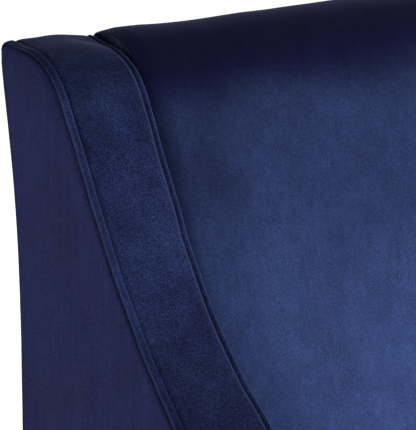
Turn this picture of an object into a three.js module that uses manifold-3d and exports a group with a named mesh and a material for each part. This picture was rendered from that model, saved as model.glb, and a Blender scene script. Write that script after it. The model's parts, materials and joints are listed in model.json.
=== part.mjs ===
// Swivel glider nursery chair with swoop arms, a tight back and a seat cushion.
// Millimetres, +Z up. The sitter faces -Y and the swivel axis is the Z axis.
// The origin is on the floor, under the swivel axis.

import * as THREE from 'three';
import { mergeVertices } from 'three/addons/utils/BufferGeometryUtils.js';
import Module from 'manifold-3d';

const wasm = await Module();
wasm.setup();

// ---------------------------------------------------------------- driving dimensions

const GAP = 0.3;                 // clearance between two pieces that touch

// Side outline, given as (y, z)
const HALF_WIDTH = 365;          // outer face of a side panel
const ARM_THICKNESS = 80;        // full width of an arm or wing
const SKIRT_Z = 80;              // lower edge of the upholstery
const FRONT_Y = -400;            // front of the arms
const REAR_LOW_Y = 377.5;        // outside back, below the flare
const REAR_TOP_Y = 401;          // outside back, at the top of the flare
const FLARE_START_Z = 770;
const FLARE_END_Z = 985;
const FLARE_LOW_HANDLE = { out: 1.5, z: 890 };
const FLARE_HIGH_HANDLE = { in: 4, z: 950 };
const WING_TOP_Z = 1000;
const WING_CORNER = { y: 376.5, z: 933.2, radius: 65, from: 94, to: 150 };  // degrees
const SWOOP_ANGLE = 60;          // slope of the wing's edge below its corner, degrees
const SWOOP_PULL = 120;          // length of the swoop's upper handle
const ARM_START = { y: -80, z: 632, slope: 3, pull: 240 };   // where the arm runs level
const ARM_CORNER_RADIUS = 45;

// Upholstery
const PANEL = 3;                 // fabric and batting on the side and back panels
const BAND = 12;                 // padding along the arm's edge
const INNER_PAD = 14.7;          // padding on the inner face of an arm
const SEAT_TOP_Z = 484;
const DECK_Z = 354;              // underside of the seat cushion
const BACK_LEAN = 17;            // degrees from vertical
const BACK_TOP_Z = 1006;
const BACK_ROLL_RADIUS = 58;
const BACK_ROLL_Y = 379;         // centre of the roll over the top rail

// Frame
const FRAME_INSET = 13;          // from the outline to the wood
const PLY = 20;
const SIDE_FRAME_RIM = 22;
const SIDE_FRAME_WEB = 55;
const RIM_OPENING_TOP_Z = 850;
const RAIL_LOW_Z = 165.6;
const RAIL_HIGH_Z = 340;
const RAIL_THICKNESS = 25;
const FRONT_RAIL_Y = -369;       // front face of the front seat rail
const REAR_RAIL_Y = 260;         // front face of the rear seat rail
const BOARD_Y = 225;             // centre of each mounting board, front and rear
const BOARD_WIDTH = 60;
const BOARD_THICKNESS = 30;
const TOP_RAIL = { y: 362, depth: 22, low: 915, high: 980 };
const LOWER_RAIL = { y: 255, depth: 22, low: 400, high: 460 };

// Swivel base
const RING_RADIUS = 250;
const RING_TUBE = 12.5;
const RING_Z = 18.5;
const SPOKE = { width: 38, low: 12, high: 30 };
const HUB_TOP_Z = 31;
const HUB_RADIUS = 70;
const PLATE = 3;
const SWIVEL_PLATE = 150;
const LOWER_PLATE_Z = 31.3;
const BALL_RADIUS = 3.6;
const BALL_CIRCLE = 52;
const BALL_COUNT = 10;
const BALL_Z = 38.3;
const UPPER_PLATE_Z = 42.3;
const SWIVEL_PIN_RADIUS = 6;

// Glider
const PIVOT_Y = 110;             // half the distance between front and rear links
const PIVOT_LOW_Z = 58;
const LINK_LENGTH = 85;
const PIN_RADIUS = 4;
const HANGER_X = 165;            // inner face of a hanger
const LINK_X = 172;              // inner face of a link
const LINK_THICKNESS = 4;
const MOVING_RAIL_X = 180;       // inner face of a moving rail
const MOVING_RAIL_TOP_Z = 164;
const BOLT_X = 199;

// ---------------------------------------------------------------- materials

function finish(color, roughness, metalness = 0) {
  return new THREE.MeshStandardMaterial({ color, roughness, metalness });
}

const velvet = finish(0x222d4e, 0.85);
const lining = finish(0x17171a, 0.9);
const webbing = finish(0x2b2b2e, 0.9);
const beech = finish(0xc7a57a, 0.6);
const plywood = finish(0xb8925f, 0.65);
const blackSteel = finish(0x1c1c1e, 0.45, 0.9);
const zincSteel = finish(0x9fa3a8, 0.35, 1);
const nylon = finish(0x202022, 0.5);

// ---------------------------------------------------------------- geometry helpers

const object = new THREE.Group();

function add(name, geometry, material, position = [0, 0, 0]) {
  const mesh = new THREE.Mesh(geometry, material);
  mesh.name = name;
  mesh.position.set(...position);
  object.add(mesh);
}

function point(y, z) {
  return new THREE.Vector2(y, z);
}

function degrees(angle) {
  return angle * Math.PI / 180;
}

function toSolid(geometry) {
  const bare = geometry.clone();
  bare.deleteAttribute('normal');
  bare.deleteAttribute('uv');
  const merged = mergeVertices(bare, 1e-4);
  return new wasm.Manifold(new wasm.Mesh({
    numProp: 3,
    vertProperties: new Float32Array(merged.attributes.position.array),
    triVerts: new Uint32Array(merged.index.array),
  }));
}

function toGeometry(solid) {
  const mesh = solid.getMesh();
  const geometry = new THREE.BufferGeometry();
  geometry.setAttribute('position', new THREE.BufferAttribute(mesh.vertProperties, 3));
  geometry.setIndex(new THREE.BufferAttribute(mesh.triVerts, 1));
  return geometry;
}

function join(...geometries) {
  return toGeometry(geometries.map(toSolid).reduce((whole, piece) => whole.add(piece)));
}

function cut(geometry, ...tools) {
  return toGeometry(tools.map(toSolid).reduce((whole, tool) => whole.subtract(tool), toSolid(geometry)));
}

// A box from one corner to the opposite one.
function box(low, high) {
  const size = high.map((value, i) => value - low[i]);
  const geometry = new THREE.BoxGeometry(...size);
  return geometry.translate(...low.map((value, i) => value + size[i] / 2));
}

function shapeOf(points, holes = []) {
  const shape = new THREE.Shape(points);
  shape.holes = holes.map((hole) => new THREE.Path(hole));
  return shape;
}

function circle(x, y, radius, count = 12) {
  const points = [];
  for (let i = 0; i < count; i += 1) {
    const angle = 2 * Math.PI * i / count;
    points.push(point(x + radius * Math.cos(angle), y + radius * Math.sin(angle)));
  }
  return points;
}

// A (y, z) outline that runs across the chair from x = low to x = high.
function acrossX(points, low, high, holes = []) {
  const shape = shapeOf(points, holes);
  const geometry = new THREE.ExtrudeGeometry(shape, { depth: high - low, bevelEnabled: false });
  const axes = new THREE.Matrix4().makeBasis(
    new THREE.Vector3(0, 1, 0), new THREE.Vector3(0, 0, 1), new THREE.Vector3(1, 0, 0));
  return geometry.applyMatrix4(axes).translate(low, 0, 0);
}

// An (x, y) outline that stands from z = low to z = high.
function upright(points, low, high, holes = []) {
  const shape = shapeOf(points, holes);
  const geometry = new THREE.ExtrudeGeometry(shape, { depth: high - low, bevelEnabled: false });
  return geometry.translate(0, 0, low);
}

// A turned piece on the Z axis; the profile is a list of [radius, z], from bottom to top.
function turned(profile, segments) {
  const points = profile.map(([radius, z]) => point(radius, z));
  return new THREE.LatheGeometry(points, segments).rotateX(Math.PI / 2);
}

// The same, lying along the X axis.
function turnedAlongX(profile, segments) {
  return turned(profile, segments).rotateY(Math.PI / 2);
}

// Mirror a geometry to the other side of the chair, x to -x, with its faces still pointing out.
function mirrored(geometry) {
  const flipped = mergeVertices(geometry.clone().deleteAttribute('normal').deleteAttribute('uv'), 1e-4);
  flipped.scale(-1, 1, 1);
  const index = flipped.index.array;
  for (let i = 0; i < index.length; i += 3) {
    [index[i], index[i + 1]] = [index[i + 1], index[i]];
  }
  return flipped;
}

// Add one piece on each side; the geometry is modelled at positive x.
function addPair(name, geometry, material) {
  add(`${name}_left`, geometry, material);
  add(`${name}_right`, mirrored(geometry), material);
}

// Move every edge of a closed counter-clockwise outline inwards by the same distance.
function inset(points, distance) {
  const count = points.length;
  return points.map((here, i) => {
    const before = here.clone().sub(points[(i + count - 1) % count]).normalize();
    const after = points[(i + 1) % count].clone().sub(here).normalize();
    const inward = point(-before.y - after.y, before.x + after.x).normalize();
    const stretch = 1 / (inward.x * -before.y + inward.y * before.x);
    return here.clone().addScaledVector(inward, distance * stretch);
  });
}

// ---------------------------------------------------------------- side outline

const swoopSlope = degrees(SWOOP_ANGLE);
const armSlope = degrees(ARM_START.slope);
const armCornerY = FRONT_Y + ARM_CORNER_RADIUS;
const armFrontZ = ARM_START.z - (ARM_START.y - armCornerY) * Math.tan(armSlope);

function rearCurve(segments) {
  const curve = new THREE.CubicBezierCurve(
    point(REAR_LOW_Y, FLARE_START_Z), point(REAR_LOW_Y + FLARE_LOW_HANDLE.out, FLARE_LOW_HANDLE.z),
    point(REAR_TOP_Y - FLARE_HIGH_HANDLE.in, FLARE_HIGH_HANDLE.z), point(REAR_TOP_Y, FLARE_END_Z));
  return curve.getPoints(segments);
}

// From the rear top corner, over the wing and along the arm, down to the front.
function bandEdge() {
  const path = new THREE.Path();
  path.absarc(
    WING_CORNER.y, WING_CORNER.z, WING_CORNER.radius, degrees(WING_CORNER.from), degrees(WING_CORNER.to));
  const corner = path.currentPoint;
  path.bezierCurveTo(
    corner.x - SWOOP_PULL * Math.cos(swoopSlope), corner.y - SWOOP_PULL * Math.sin(swoopSlope),
    ARM_START.y + ARM_START.pull * Math.cos(armSlope), ARM_START.z + ARM_START.pull * Math.sin(armSlope),
    ARM_START.y, ARM_START.z);
  path.lineTo(armCornerY, armFrontZ);
  path.absarc(
    armCornerY, armFrontZ - ARM_CORNER_RADIUS, ARM_CORNER_RADIUS, Math.PI / 2 + armSlope, Math.PI);
  path.lineTo(FRONT_Y, SKIRT_Z);
  const points = [point(REAR_TOP_Y, WING_TOP_Z), ...path.getPoints(7)];
  return points.filter((here, i) => i === 0 || here.distanceTo(points[i - 1]) > 1);
}

const rearPoints = [point(REAR_LOW_Y, SKIRT_Z), ...rearCurve(6)];
const edgePoints = bandEdge();
const outline = [...rearPoints, ...edgePoints];

function insetPart(first, count, distance) {
  return inset(outline, distance).slice(first, first + count);
}

// ---------------------------------------------------------------- arms and wings

const panelX = HALF_WIDTH - PANEL;
const innerX = HALF_WIDTH - ARM_THICKNESS;
const frameLowX = innerX + INNER_PAD + GAP;
const frameHighX = panelX - GAP;

// The band's front end stops short of the outline's lower front corner.
const bandOutside = edgePoints;
const bandInside = insetPart(rearPoints.length, edgePoints.length, BAND);
bandInside[bandInside.length - 1].y = SKIRT_Z;
const band = [...bandOutside, ...bandInside.reverse()];

addPair('arm_band', acrossX(band, innerX, panelX - GAP), velvet);
addPair('outer_side_panel', acrossX(outline, panelX, HALF_WIDTH), velvet);

// The inner arm padding stops at the line where the back's webbing starts.
const INNER_PAD_TOP = { y: 350, z: 975 };
const INNER_PAD_BOTTOM = { y: 232, z: DECK_Z + 4 };
const innerPadTop = point(INNER_PAD_TOP.y, INNER_PAD_TOP.z);
const innerPadBottom = point(INNER_PAD_BOTTOM.y, INNER_PAD_BOTTOM.z);
const innerPadEdge = insetPart(rearPoints.length, edgePoints.length, BAND + GAP)
  .filter((here) => here.x < innerPadTop.x && here.y > DECK_Z);
const innerPadOutline = [
  innerPadBottom, innerPadTop, ...innerPadEdge, point(FRONT_Y + BAND + GAP, innerPadBottom.y)];
addPair('inner_arm_pad', acrossX(innerPadOutline, innerX, innerX + INNER_PAD), velvet);

// Side frame: a plywood web with one opening, and a rim that gives the arm its thickness.
const frameOutline = inset(outline, FRAME_INSET);
const webOpening = inset(outline, FRAME_INSET + SIDE_FRAME_WEB).filter((here) => here.y < FLARE_START_Z);
const rimOpening = inset(outline, FRAME_INSET + SIDE_FRAME_RIM).filter((here) => here.y < RIM_OPENING_TOP_Z);
function sideFrame(towardsLeft) {
  const slab = (outer, inner, shape, opening) => (towardsLeft
    ? acrossX(shape, inner, outer, [opening])
    : acrossX(shape, -outer, -inner, [opening]));
  return join(
    slab(frameHighX, frameHighX - PLY, frameOutline, webOpening),
    slab(frameHighX, frameLowX, frameOutline, rimOpening));
}

add('side_frame_left', sideFrame(true), plywood);
add('side_frame_right', sideFrame(false), plywood);

// ---------------------------------------------------------------- seat frame

const railHalf = frameLowX - GAP;
const boltHoles = [BOLT_X, -BOLT_X].map((x) => circle(x, 0, PIN_RADIUS + GAP));

function crossRail(name, y, depth, low, high) {
  add(name, box([-railHalf, y, low], [railHalf, y + depth, high]), beech);
}

crossRail('front_seat_rail', FRONT_RAIL_Y, RAIL_THICKNESS, RAIL_LOW_Z, RAIL_HIGH_Z);
crossRail('rear_seat_rail', REAR_RAIL_Y, RAIL_THICKNESS, RAIL_LOW_Z, RAIL_HIGH_Z);
crossRail('back_top_rail', TOP_RAIL.y, TOP_RAIL.depth, TOP_RAIL.low, TOP_RAIL.high);
crossRail('back_lower_rail', LOWER_RAIL.y, LOWER_RAIL.depth, LOWER_RAIL.low, LOWER_RAIL.high);

const boardOutline = [
  point(-railHalf, -BOARD_WIDTH / 2), point(railHalf, -BOARD_WIDTH / 2),
  point(railHalf, BOARD_WIDTH / 2), point(-railHalf, BOARD_WIDTH / 2)];
const board = upright(boardOutline, RAIL_LOW_Z, RAIL_LOW_Z + BOARD_THICKNESS, boltHoles);
add('mounting_board_front', board, plywood, [0, -BOARD_Y, 0]);
add('mounting_board_rear', board, plywood, [0, BOARD_Y, 0]);

// Sinuous seat springs, front rail to rear rail.
const SPRING = {
  count: 5, spacing: 110, wire: 2, swing: 22, waves: 9, z: 343.5, rise: 3, frontClip: 6, rearClip: 7 };

class SinuousWire extends THREE.Curve {
  getPoint(t, target = new THREE.Vector3()) {
    const from = FRONT_RAIL_Y + SPRING.frontClip;
    const to = REAR_RAIL_Y + RAIL_THICKNESS - SPRING.rearClip;
    return target.set(
      SPRING.swing * Math.sin(2 * Math.PI * SPRING.waves * t),
      from + (to - from) * t,
      SPRING.z + SPRING.rise * Math.sin(Math.PI * t));
  }
}

for (let i = 0; i < SPRING.count; i += 1) {
  const wire = new THREE.ExtrudeGeometry(shapeOf(circle(0, 0, SPRING.wire, 5)), {
    extrudePath: new SinuousWire(), steps: SPRING.waves * 6, bevelEnabled: false });
  add(`seat_spring_${i + 1}`, wire, zincSteel, [(i - (SPRING.count - 1) / 2) * SPRING.spacing, 0, 0]);
}

// Elastic webbing up the back, from the lower rail to the top rail.
const WEB = { count: 3, thickness: 2, width: 60, spacing: 150, stand: 2.6, end: 5 };
const webFront = [
  point(LOWER_RAIL.y - WEB.stand, LOWER_RAIL.low + WEB.end), point(LOWER_RAIL.y - WEB.stand, LOWER_RAIL.high),
  point(TOP_RAIL.y - WEB.stand, TOP_RAIL.low), point(TOP_RAIL.y - WEB.stand, TOP_RAIL.high - WEB.end)];
const webBack = webFront.map((here) => point(here.x + WEB.thickness, here.y)).reverse();
for (let i = 0; i < WEB.count; i += 1) {
  const centre = (i - (WEB.count - 1) / 2) * WEB.spacing;
  const strip = acrossX([...webBack, ...webFront], centre - WEB.width / 2, centre + WEB.width / 2);
  add(`back_webbing_${i + 1}`, strip, webbing);
}

// ---------------------------------------------------------------- back, seat and covers

const lean = Math.tan(degrees(BACK_LEAN));
const rollZ = BACK_TOP_Z - BACK_ROLL_RADIUS;

function backRoll(segments) {
  const from = degrees(90);
  const to = degrees(180 - BACK_LEAN);
  const points = [];
  for (let i = 0; i <= segments; i += 1) {
    const angle = from + (to - from) * i / segments;
    points.push(point(
      BACK_ROLL_Y + BACK_ROLL_RADIUS * Math.cos(angle), rollZ + BACK_ROLL_RADIUS * Math.sin(angle)));
  }
  return points;
}

const roll = backRoll(6);
const faceTop = roll[roll.length - 1];
const PAD = {
  low: 358, railGap: 1, webGap: 0.7, bottomStep: 8, rearLow: 990, rearIn: 8, topIn: 10, topDown: 6 };
const faceBottom = point(faceTop.x - (faceTop.y - PAD.low) * lean, PAD.low);
const padRear = webFront.map((here) => point(here.x - PAD.webGap, here.y));
const backPad = [
  faceBottom, point(padRear[0].x - PAD.bottomStep, PAD.low), ...padRear,
  point(TOP_RAIL.y - WEB.stand - PAD.webGap, TOP_RAIL.high + PAD.railGap),
  point(TOP_RAIL.y + TOP_RAIL.depth, TOP_RAIL.high + PAD.railGap),
  point(REAR_TOP_Y - PAD.rearIn, PAD.rearLow),
  point(REAR_TOP_Y - PAD.topIn, BACK_TOP_Z - PAD.topDown), ...roll];
add('back_pad', acrossX(backPad, -innerX + GAP, innerX - GAP), velvet);

// Seat cushion, its rear following the leaning back.
const CUSHION = {
  front: FRONT_Y + 4, edge: 22, side: innerX - 2, bevelY: 4, bevelZ: 12, round: 40,
  rearGap: 6, rearBevelY: 16, rearBevelZ: 20 };
const cushionRearY = faceBottom.x - CUSHION.rearGap;
const rearEdgeZ = SEAT_TOP_Z - CUSHION.rearBevelZ;
const rearEdgeY = cushionRearY + (rearEdgeZ - DECK_Z) * lean;
const cushionOutline = [
  point(CUSHION.front + CUSHION.edge, DECK_Z), point(cushionRearY, DECK_Z),
  point(rearEdgeY, rearEdgeZ), point(rearEdgeY - CUSHION.rearBevelY, SEAT_TOP_Z),
  point(CUSHION.front + CUSHION.edge, SEAT_TOP_Z),
  point(CUSHION.front + CUSHION.bevelY, SEAT_TOP_Z - CUSHION.bevelZ),
  point(CUSHION.front, SEAT_TOP_Z - CUSHION.round), point(CUSHION.front, DECK_Z + CUSHION.round),
  point(CUSHION.front + CUSHION.bevelY, DECK_Z + CUSHION.bevelZ)];
add('seat_cushion', acrossX(cushionOutline, -CUSHION.side, CUSHION.side), velvet);

const DECK = { thickness: 4, side: innerX - 2, rear: faceBottom.x + 60 };
add('seat_deck', box([-DECK.side, FRONT_RAIL_Y, DECK_Z - DECK.thickness - GAP],
  [DECK.side, DECK.rear, DECK_Z - GAP]), lining);

const BORDER = { front: FRONT_Y + 20, thickness: 8 };
add('front_border', box([-innerX + GAP, BORDER.front, SKIRT_Z],
  [innerX - GAP, BORDER.front + BORDER.thickness, DECK_Z - GAP]), velvet);

// Outside back: the rear of the outline, as a sheet between the side panels.
const backSheet = [...rearPoints, ...insetPart(0, rearPoints.length, PANEL).reverse()];
backSheet[backSheet.length - 1].y = SKIRT_Z;
backSheet[rearPoints.length].y = FLARE_END_Z;
add('outside_back', acrossX(backSheet, -panelX + GAP, panelX - GAP), velvet);

// Dust cover under the seat frame, with the mounting bolts passing through.
const coverHoles = [BOARD_Y, -BOARD_Y].flatMap(
  (y) => [BOLT_X, -BOLT_X].map((x) => circle(x, y, PIN_RADIUS + GAP)));
const coverHalf = railHalf - 1;
const coverRear = REAR_LOW_Y - PANEL - 2;
add('dust_cover', upright([
  point(-coverHalf, FRONT_RAIL_Y), point(coverHalf, FRONT_RAIL_Y),
  point(coverHalf, coverRear), point(-coverHalf, coverRear)],
MOVING_RAIL_TOP_Z + GAP, RAIL_LOW_Z - GAP, coverHoles), lining);

// ---------------------------------------------------------------- swivel base

const tube = new THREE.TorusGeometry(RING_RADIUS, RING_TUBE, 10, 48).translate(0, 0, RING_Z);
const spokeHalf = SPOKE.width / 2;
const spokes = [0, 1].map((turn) => box(
  [-RING_RADIUS, -spokeHalf, SPOKE.low], [RING_RADIUS, spokeHalf, SPOKE.high]).rotateZ(turn * Math.PI / 2));
const hub = turned([[0, SPOKE.low], [HUB_RADIUS, SPOKE.low], [HUB_RADIUS, HUB_TOP_Z], [0, HUB_TOP_Z]], 32);
const PIN_HEAD = { radius: 13, low: 22, high: LOWER_PLATE_Z - GAP };
const HUB_HOLE = { radius: PIN_HEAD.radius + 3, top: 60 };
const hubHole = turned(
  [[0, 0], [HUB_HOLE.radius, 0], [HUB_HOLE.radius, HUB_HOLE.top], [0, HUB_HOLE.top]], 24);
add('base_ring', tube, blackSteel);

// The four arms and the hub end just short of the ring they are welded to.
const weldGap = new THREE.TorusGeometry(RING_RADIUS, RING_TUBE + GAP, 10, 48).translate(0, 0, RING_Z);
add('base_spokes', cut(join(...spokes, hub), hubHole, weldGap), blackSteel);

const GLIDE = { foot: 13, radius: 16, bevel: 2, top: RING_Z - RING_TUBE - GAP };
const glideProfile = [
  [0, 0], [GLIDE.foot, 0], [GLIDE.radius, GLIDE.bevel], [GLIDE.radius, GLIDE.top], [0, GLIDE.top]];
for (let i = 0; i < 4; i += 1) {
  const angle = degrees(45 + 90 * i);
  add(`floor_glide_${i + 1}`, turned(glideProfile, 16), nylon,
    [RING_RADIUS * Math.cos(angle), RING_RADIUS * Math.sin(angle), 0]);
}

const plateHalf = SWIVEL_PLATE / 2;
const plateCorner = 12;
const squarePlate = [
  point(plateHalf, -plateHalf + plateCorner), point(plateHalf, plateHalf - plateCorner),
  point(plateHalf - plateCorner, plateHalf), point(-plateHalf + plateCorner, plateHalf),
  point(-plateHalf, plateHalf - plateCorner), point(-plateHalf, -plateHalf + plateCorner),
  point(-plateHalf + plateCorner, -plateHalf), point(plateHalf - plateCorner, -plateHalf)];
const pinHole = circle(0, 0, SWIVEL_PIN_RADIUS + GAP, 24);
add('swivel_lower_plate', upright(squarePlate, LOWER_PLATE_Z, LOWER_PLATE_Z + PLATE, [pinHole]), zincSteel);
add('swivel_upper_plate', upright(squarePlate, UPPER_PLATE_Z, UPPER_PLATE_Z + PLATE, [pinHole]), zincSteel);

const CAGE = { inner: BALL_CIRCLE - 9, outer: BALL_CIRCLE + 9, low: BALL_Z - 1, high: BALL_Z + 1 };
const cageRing = turned([
  [CAGE.inner, CAGE.low], [CAGE.outer, CAGE.low], [CAGE.outer, CAGE.high], [CAGE.inner, CAGE.high],
  [CAGE.inner, CAGE.low]], 24);
const balls = [];
for (let i = 0; i < BALL_COUNT; i += 1) {
  const angle = 2 * Math.PI * i / BALL_COUNT;
  const ball = new THREE.SphereGeometry(BALL_RADIUS, 6, 4);
  balls.push(ball.translate(BALL_CIRCLE * Math.cos(angle), BALL_CIRCLE * Math.sin(angle), BALL_Z));
}
add('swivel_ball_cage', join(cageRing, ...balls), zincSteel);

const PLATFORM_Z = UPPER_PLATE_Z + PLATE + GAP;
const NUT = { radius: 10, low: PLATFORM_Z + PLATE + GAP, height: 8 };
const shank = SWIVEL_PIN_RADIUS;
const pinTop = NUT.low + NUT.height + 2;
add('swivel_pin', turned([
  [0, PIN_HEAD.low], [PIN_HEAD.radius, PIN_HEAD.low], [PIN_HEAD.radius, PIN_HEAD.high],
  [shank, PIN_HEAD.high], [shank, pinTop], [0, pinTop]], 24), zincSteel);
add('swivel_lock_nut', upright(
  circle(0, 0, NUT.radius, 6), NUT.low, NUT.low + NUT.height, [circle(0, 0, shank + GAP, 24)]), zincSteel);

// ---------------------------------------------------------------- glider

const PLATFORM_HALF_Y = 60;
const platformX = HANGER_X - GAP;
add('glider_platform', upright([
  point(-platformX, -PLATFORM_HALF_Y), point(platformX, -PLATFORM_HALF_Y),
  point(platformX, PLATFORM_HALF_Y), point(-platformX, PLATFORM_HALF_Y)],
PLATFORM_Z, PLATFORM_Z + PLATE, [pinHole]), blackSteel);

// Hangers stand on the platform and carry the upper pivots.
const PIVOT_HIGH_Z = PIVOT_LOW_Z + LINK_LENGTH;
const HANGER = {
  footZ: PLATFORM_Z + PLATE + GAP, footWidth: 55, halfLow: 68, halfHigh: PIVOT_Y + 18,
  earZ: PIVOT_HIGH_Z - 22, top: PIVOT_HIGH_Z + 15, bevel: 10 };
const hangerWeb = acrossX([
  point(-HANGER.halfLow, HANGER.footZ), point(HANGER.halfLow, HANGER.footZ),
  point(HANGER.halfHigh, HANGER.earZ), point(HANGER.halfHigh, HANGER.top - HANGER.bevel),
  point(HANGER.halfHigh - HANGER.bevel, HANGER.top), point(-HANGER.halfHigh + HANGER.bevel, HANGER.top),
  point(-HANGER.halfHigh, HANGER.top - HANGER.bevel), point(-HANGER.halfHigh, HANGER.earZ)],
HANGER_X, HANGER_X + PLATE,
[PIVOT_Y, -PIVOT_Y].map((y) => circle(y, PIVOT_HIGH_Z, PIN_RADIUS + GAP)));
const hangerFoot = box(
  [HANGER_X - HANGER.footWidth, -PLATFORM_HALF_Y, HANGER.footZ],
  [HANGER_X + PLATE, PLATFORM_HALF_Y, HANGER.footZ + PLATE]);
addPair('hanger', join(hangerWeb, hangerFoot), blackSteel);

// Swing links, each with a pivot pin at its upper and its lower end.
const LINK_HALF = 11;
const LINK_END_SEGMENTS = 8;
const linkEnds = [];
for (const [centreZ, start] of [[PIVOT_HIGH_Z, 0], [PIVOT_LOW_Z, Math.PI]]) {
  for (let i = 0; i <= LINK_END_SEGMENTS; i += 1) {
    const angle = start + Math.PI * i / LINK_END_SEGMENTS;
    linkEnds.push(point(LINK_HALF * Math.cos(angle), centreZ + LINK_HALF * Math.sin(angle)));
  }
}
const link = acrossX(linkEnds, LINK_X, LINK_X + LINK_THICKNESS,
  [PIVOT_HIGH_Z, PIVOT_LOW_Z].map((z) => circle(0, z, PIN_RADIUS + GAP)));

const RIVET = { head: 8, collar: 7, thickness: 2.6 };

// A pivot pin through two plates: head, shank, collar between the plates, shank, head.
function pivotPin(firstLow, firstHigh, secondLow, secondHigh) {
  const near = firstLow - GAP;
  const far = secondHigh + GAP;
  return turnedAlongX([
    [0, near - RIVET.thickness], [RIVET.head, near - RIVET.thickness], [RIVET.head, near],
    [PIN_RADIUS, near], [PIN_RADIUS, firstHigh + GAP], [RIVET.collar, firstHigh + GAP],
    [RIVET.collar, secondLow - GAP], [PIN_RADIUS, secondLow - GAP], [PIN_RADIUS, far],
    [RIVET.head, far], [RIVET.head, far + RIVET.thickness], [0, far + RIVET.thickness]], 10);
}

const linkFar = LINK_X + LINK_THICKNESS;
const upperPin = pivotPin(HANGER_X, HANGER_X + PLATE, LINK_X, linkFar);
const lowerPin = pivotPin(LINK_X, linkFar, MOVING_RAIL_X, MOVING_RAIL_X + PLATE);

for (const [end, side] of [['front', -1], ['rear', 1]]) {
  const y = side * PIVOT_Y;
  addPair(`glide_link_${end}`, link.clone().translate(0, y, 0), blackSteel);
  addPair(`upper_pin_${end}`, upperPin.clone().translate(0, y, PIVOT_HIGH_Z), zincSteel);
  addPair(`lower_pin_${end}`, lowerPin.clone().translate(0, y, PIVOT_LOW_Z), zincSteel);
}

// Moving rails hang from the links and are bolted up to the mounting boards.
const MOVING_RAIL = { half: 255, low: 46, lowHalf: PIVOT_Y + 30, endZ: 125, flange: 34 };
const railWeb = acrossX([
  point(-MOVING_RAIL.lowHalf, MOVING_RAIL.low), point(MOVING_RAIL.lowHalf, MOVING_RAIL.low),
  point(MOVING_RAIL.half, MOVING_RAIL.endZ), point(MOVING_RAIL.half, MOVING_RAIL_TOP_Z),
  point(-MOVING_RAIL.half, MOVING_RAIL_TOP_Z), point(-MOVING_RAIL.half, MOVING_RAIL.endZ)],
MOVING_RAIL_X, MOVING_RAIL_X + PLATE,
[PIVOT_Y, -PIVOT_Y].map((y) => circle(y, PIVOT_LOW_Z, PIN_RADIUS + GAP)));
const railFlange = upright([
  point(MOVING_RAIL_X, -MOVING_RAIL.half), point(MOVING_RAIL_X + MOVING_RAIL.flange, -MOVING_RAIL.half),
  point(MOVING_RAIL_X + MOVING_RAIL.flange, MOVING_RAIL.half), point(MOVING_RAIL_X, MOVING_RAIL.half)],
MOVING_RAIL_TOP_Z - PLATE, MOVING_RAIL_TOP_Z,
[BOARD_Y, -BOARD_Y].map((y) => circle(BOLT_X, y, PIN_RADIUS + GAP)));
addPair('glide_rail', join(railWeb, railFlange), blackSteel);

const BOLT = {
  headLow: MOVING_RAIL_TOP_Z - PLATE - GAP - 5, headHigh: MOVING_RAIL_TOP_Z - PLATE - GAP,
  head: 7.5, bevelIn: 0.5, bevelUp: 1, top: RAIL_LOW_Z + BOARD_THICKNESS + 4 };
const bolt = turned([
  [0, BOLT.headLow], [BOLT.head - BOLT.bevelIn, BOLT.headLow], [BOLT.head, BOLT.headLow + BOLT.bevelUp],
  [BOLT.head, BOLT.headHigh], [PIN_RADIUS, BOLT.headHigh], [PIN_RADIUS, BOLT.top], [0, BOLT.top]], 12);
for (const [end, side] of [['front', -1], ['rear', 1]]) {
  addPair(`mounting_bolt_${end}`, bolt.clone().translate(BOLT_X, side * BOARD_Y, 0), zincSteel);
}

export default object;
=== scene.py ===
import json
import math

import bmesh
import bpy
import numpy as np
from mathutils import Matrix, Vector


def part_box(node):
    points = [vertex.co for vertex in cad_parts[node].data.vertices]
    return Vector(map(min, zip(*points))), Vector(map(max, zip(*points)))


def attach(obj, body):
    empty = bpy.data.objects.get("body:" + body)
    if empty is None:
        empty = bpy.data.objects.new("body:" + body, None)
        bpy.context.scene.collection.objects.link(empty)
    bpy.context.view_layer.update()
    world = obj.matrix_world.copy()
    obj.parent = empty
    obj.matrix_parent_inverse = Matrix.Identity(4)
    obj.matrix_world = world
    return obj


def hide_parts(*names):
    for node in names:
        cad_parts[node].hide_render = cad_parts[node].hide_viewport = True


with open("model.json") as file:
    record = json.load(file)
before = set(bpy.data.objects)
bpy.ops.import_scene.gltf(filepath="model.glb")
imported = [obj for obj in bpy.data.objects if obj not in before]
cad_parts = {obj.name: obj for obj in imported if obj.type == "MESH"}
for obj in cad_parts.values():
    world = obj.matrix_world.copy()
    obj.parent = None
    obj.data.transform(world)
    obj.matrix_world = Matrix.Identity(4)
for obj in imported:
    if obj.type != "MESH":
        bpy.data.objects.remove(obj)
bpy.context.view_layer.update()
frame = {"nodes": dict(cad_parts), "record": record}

MM = 0.001

# ------------------------------------------------------------------ sizes, in metres, from the frame

HALF_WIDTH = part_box("outer_side_panel_left")[1].x
ARM_WIDTH = HALF_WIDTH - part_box("arm_band_left")[0].x
INNER_X = HALF_WIDTH - ARM_WIDTH
SKIRT_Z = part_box("arm_band_left")[0].z
FRONT_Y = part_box("arm_band_left")[0].y
REAR_TOP_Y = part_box("outside_back")[1].y
WING_TOP_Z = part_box("arm_band_left")[1].z
BACK_TOP_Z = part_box("back_pad")[1].z
PAD_LOW_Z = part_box("back_pad")[0].z
DECK_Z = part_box("seat_cushion")[0].z

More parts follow.
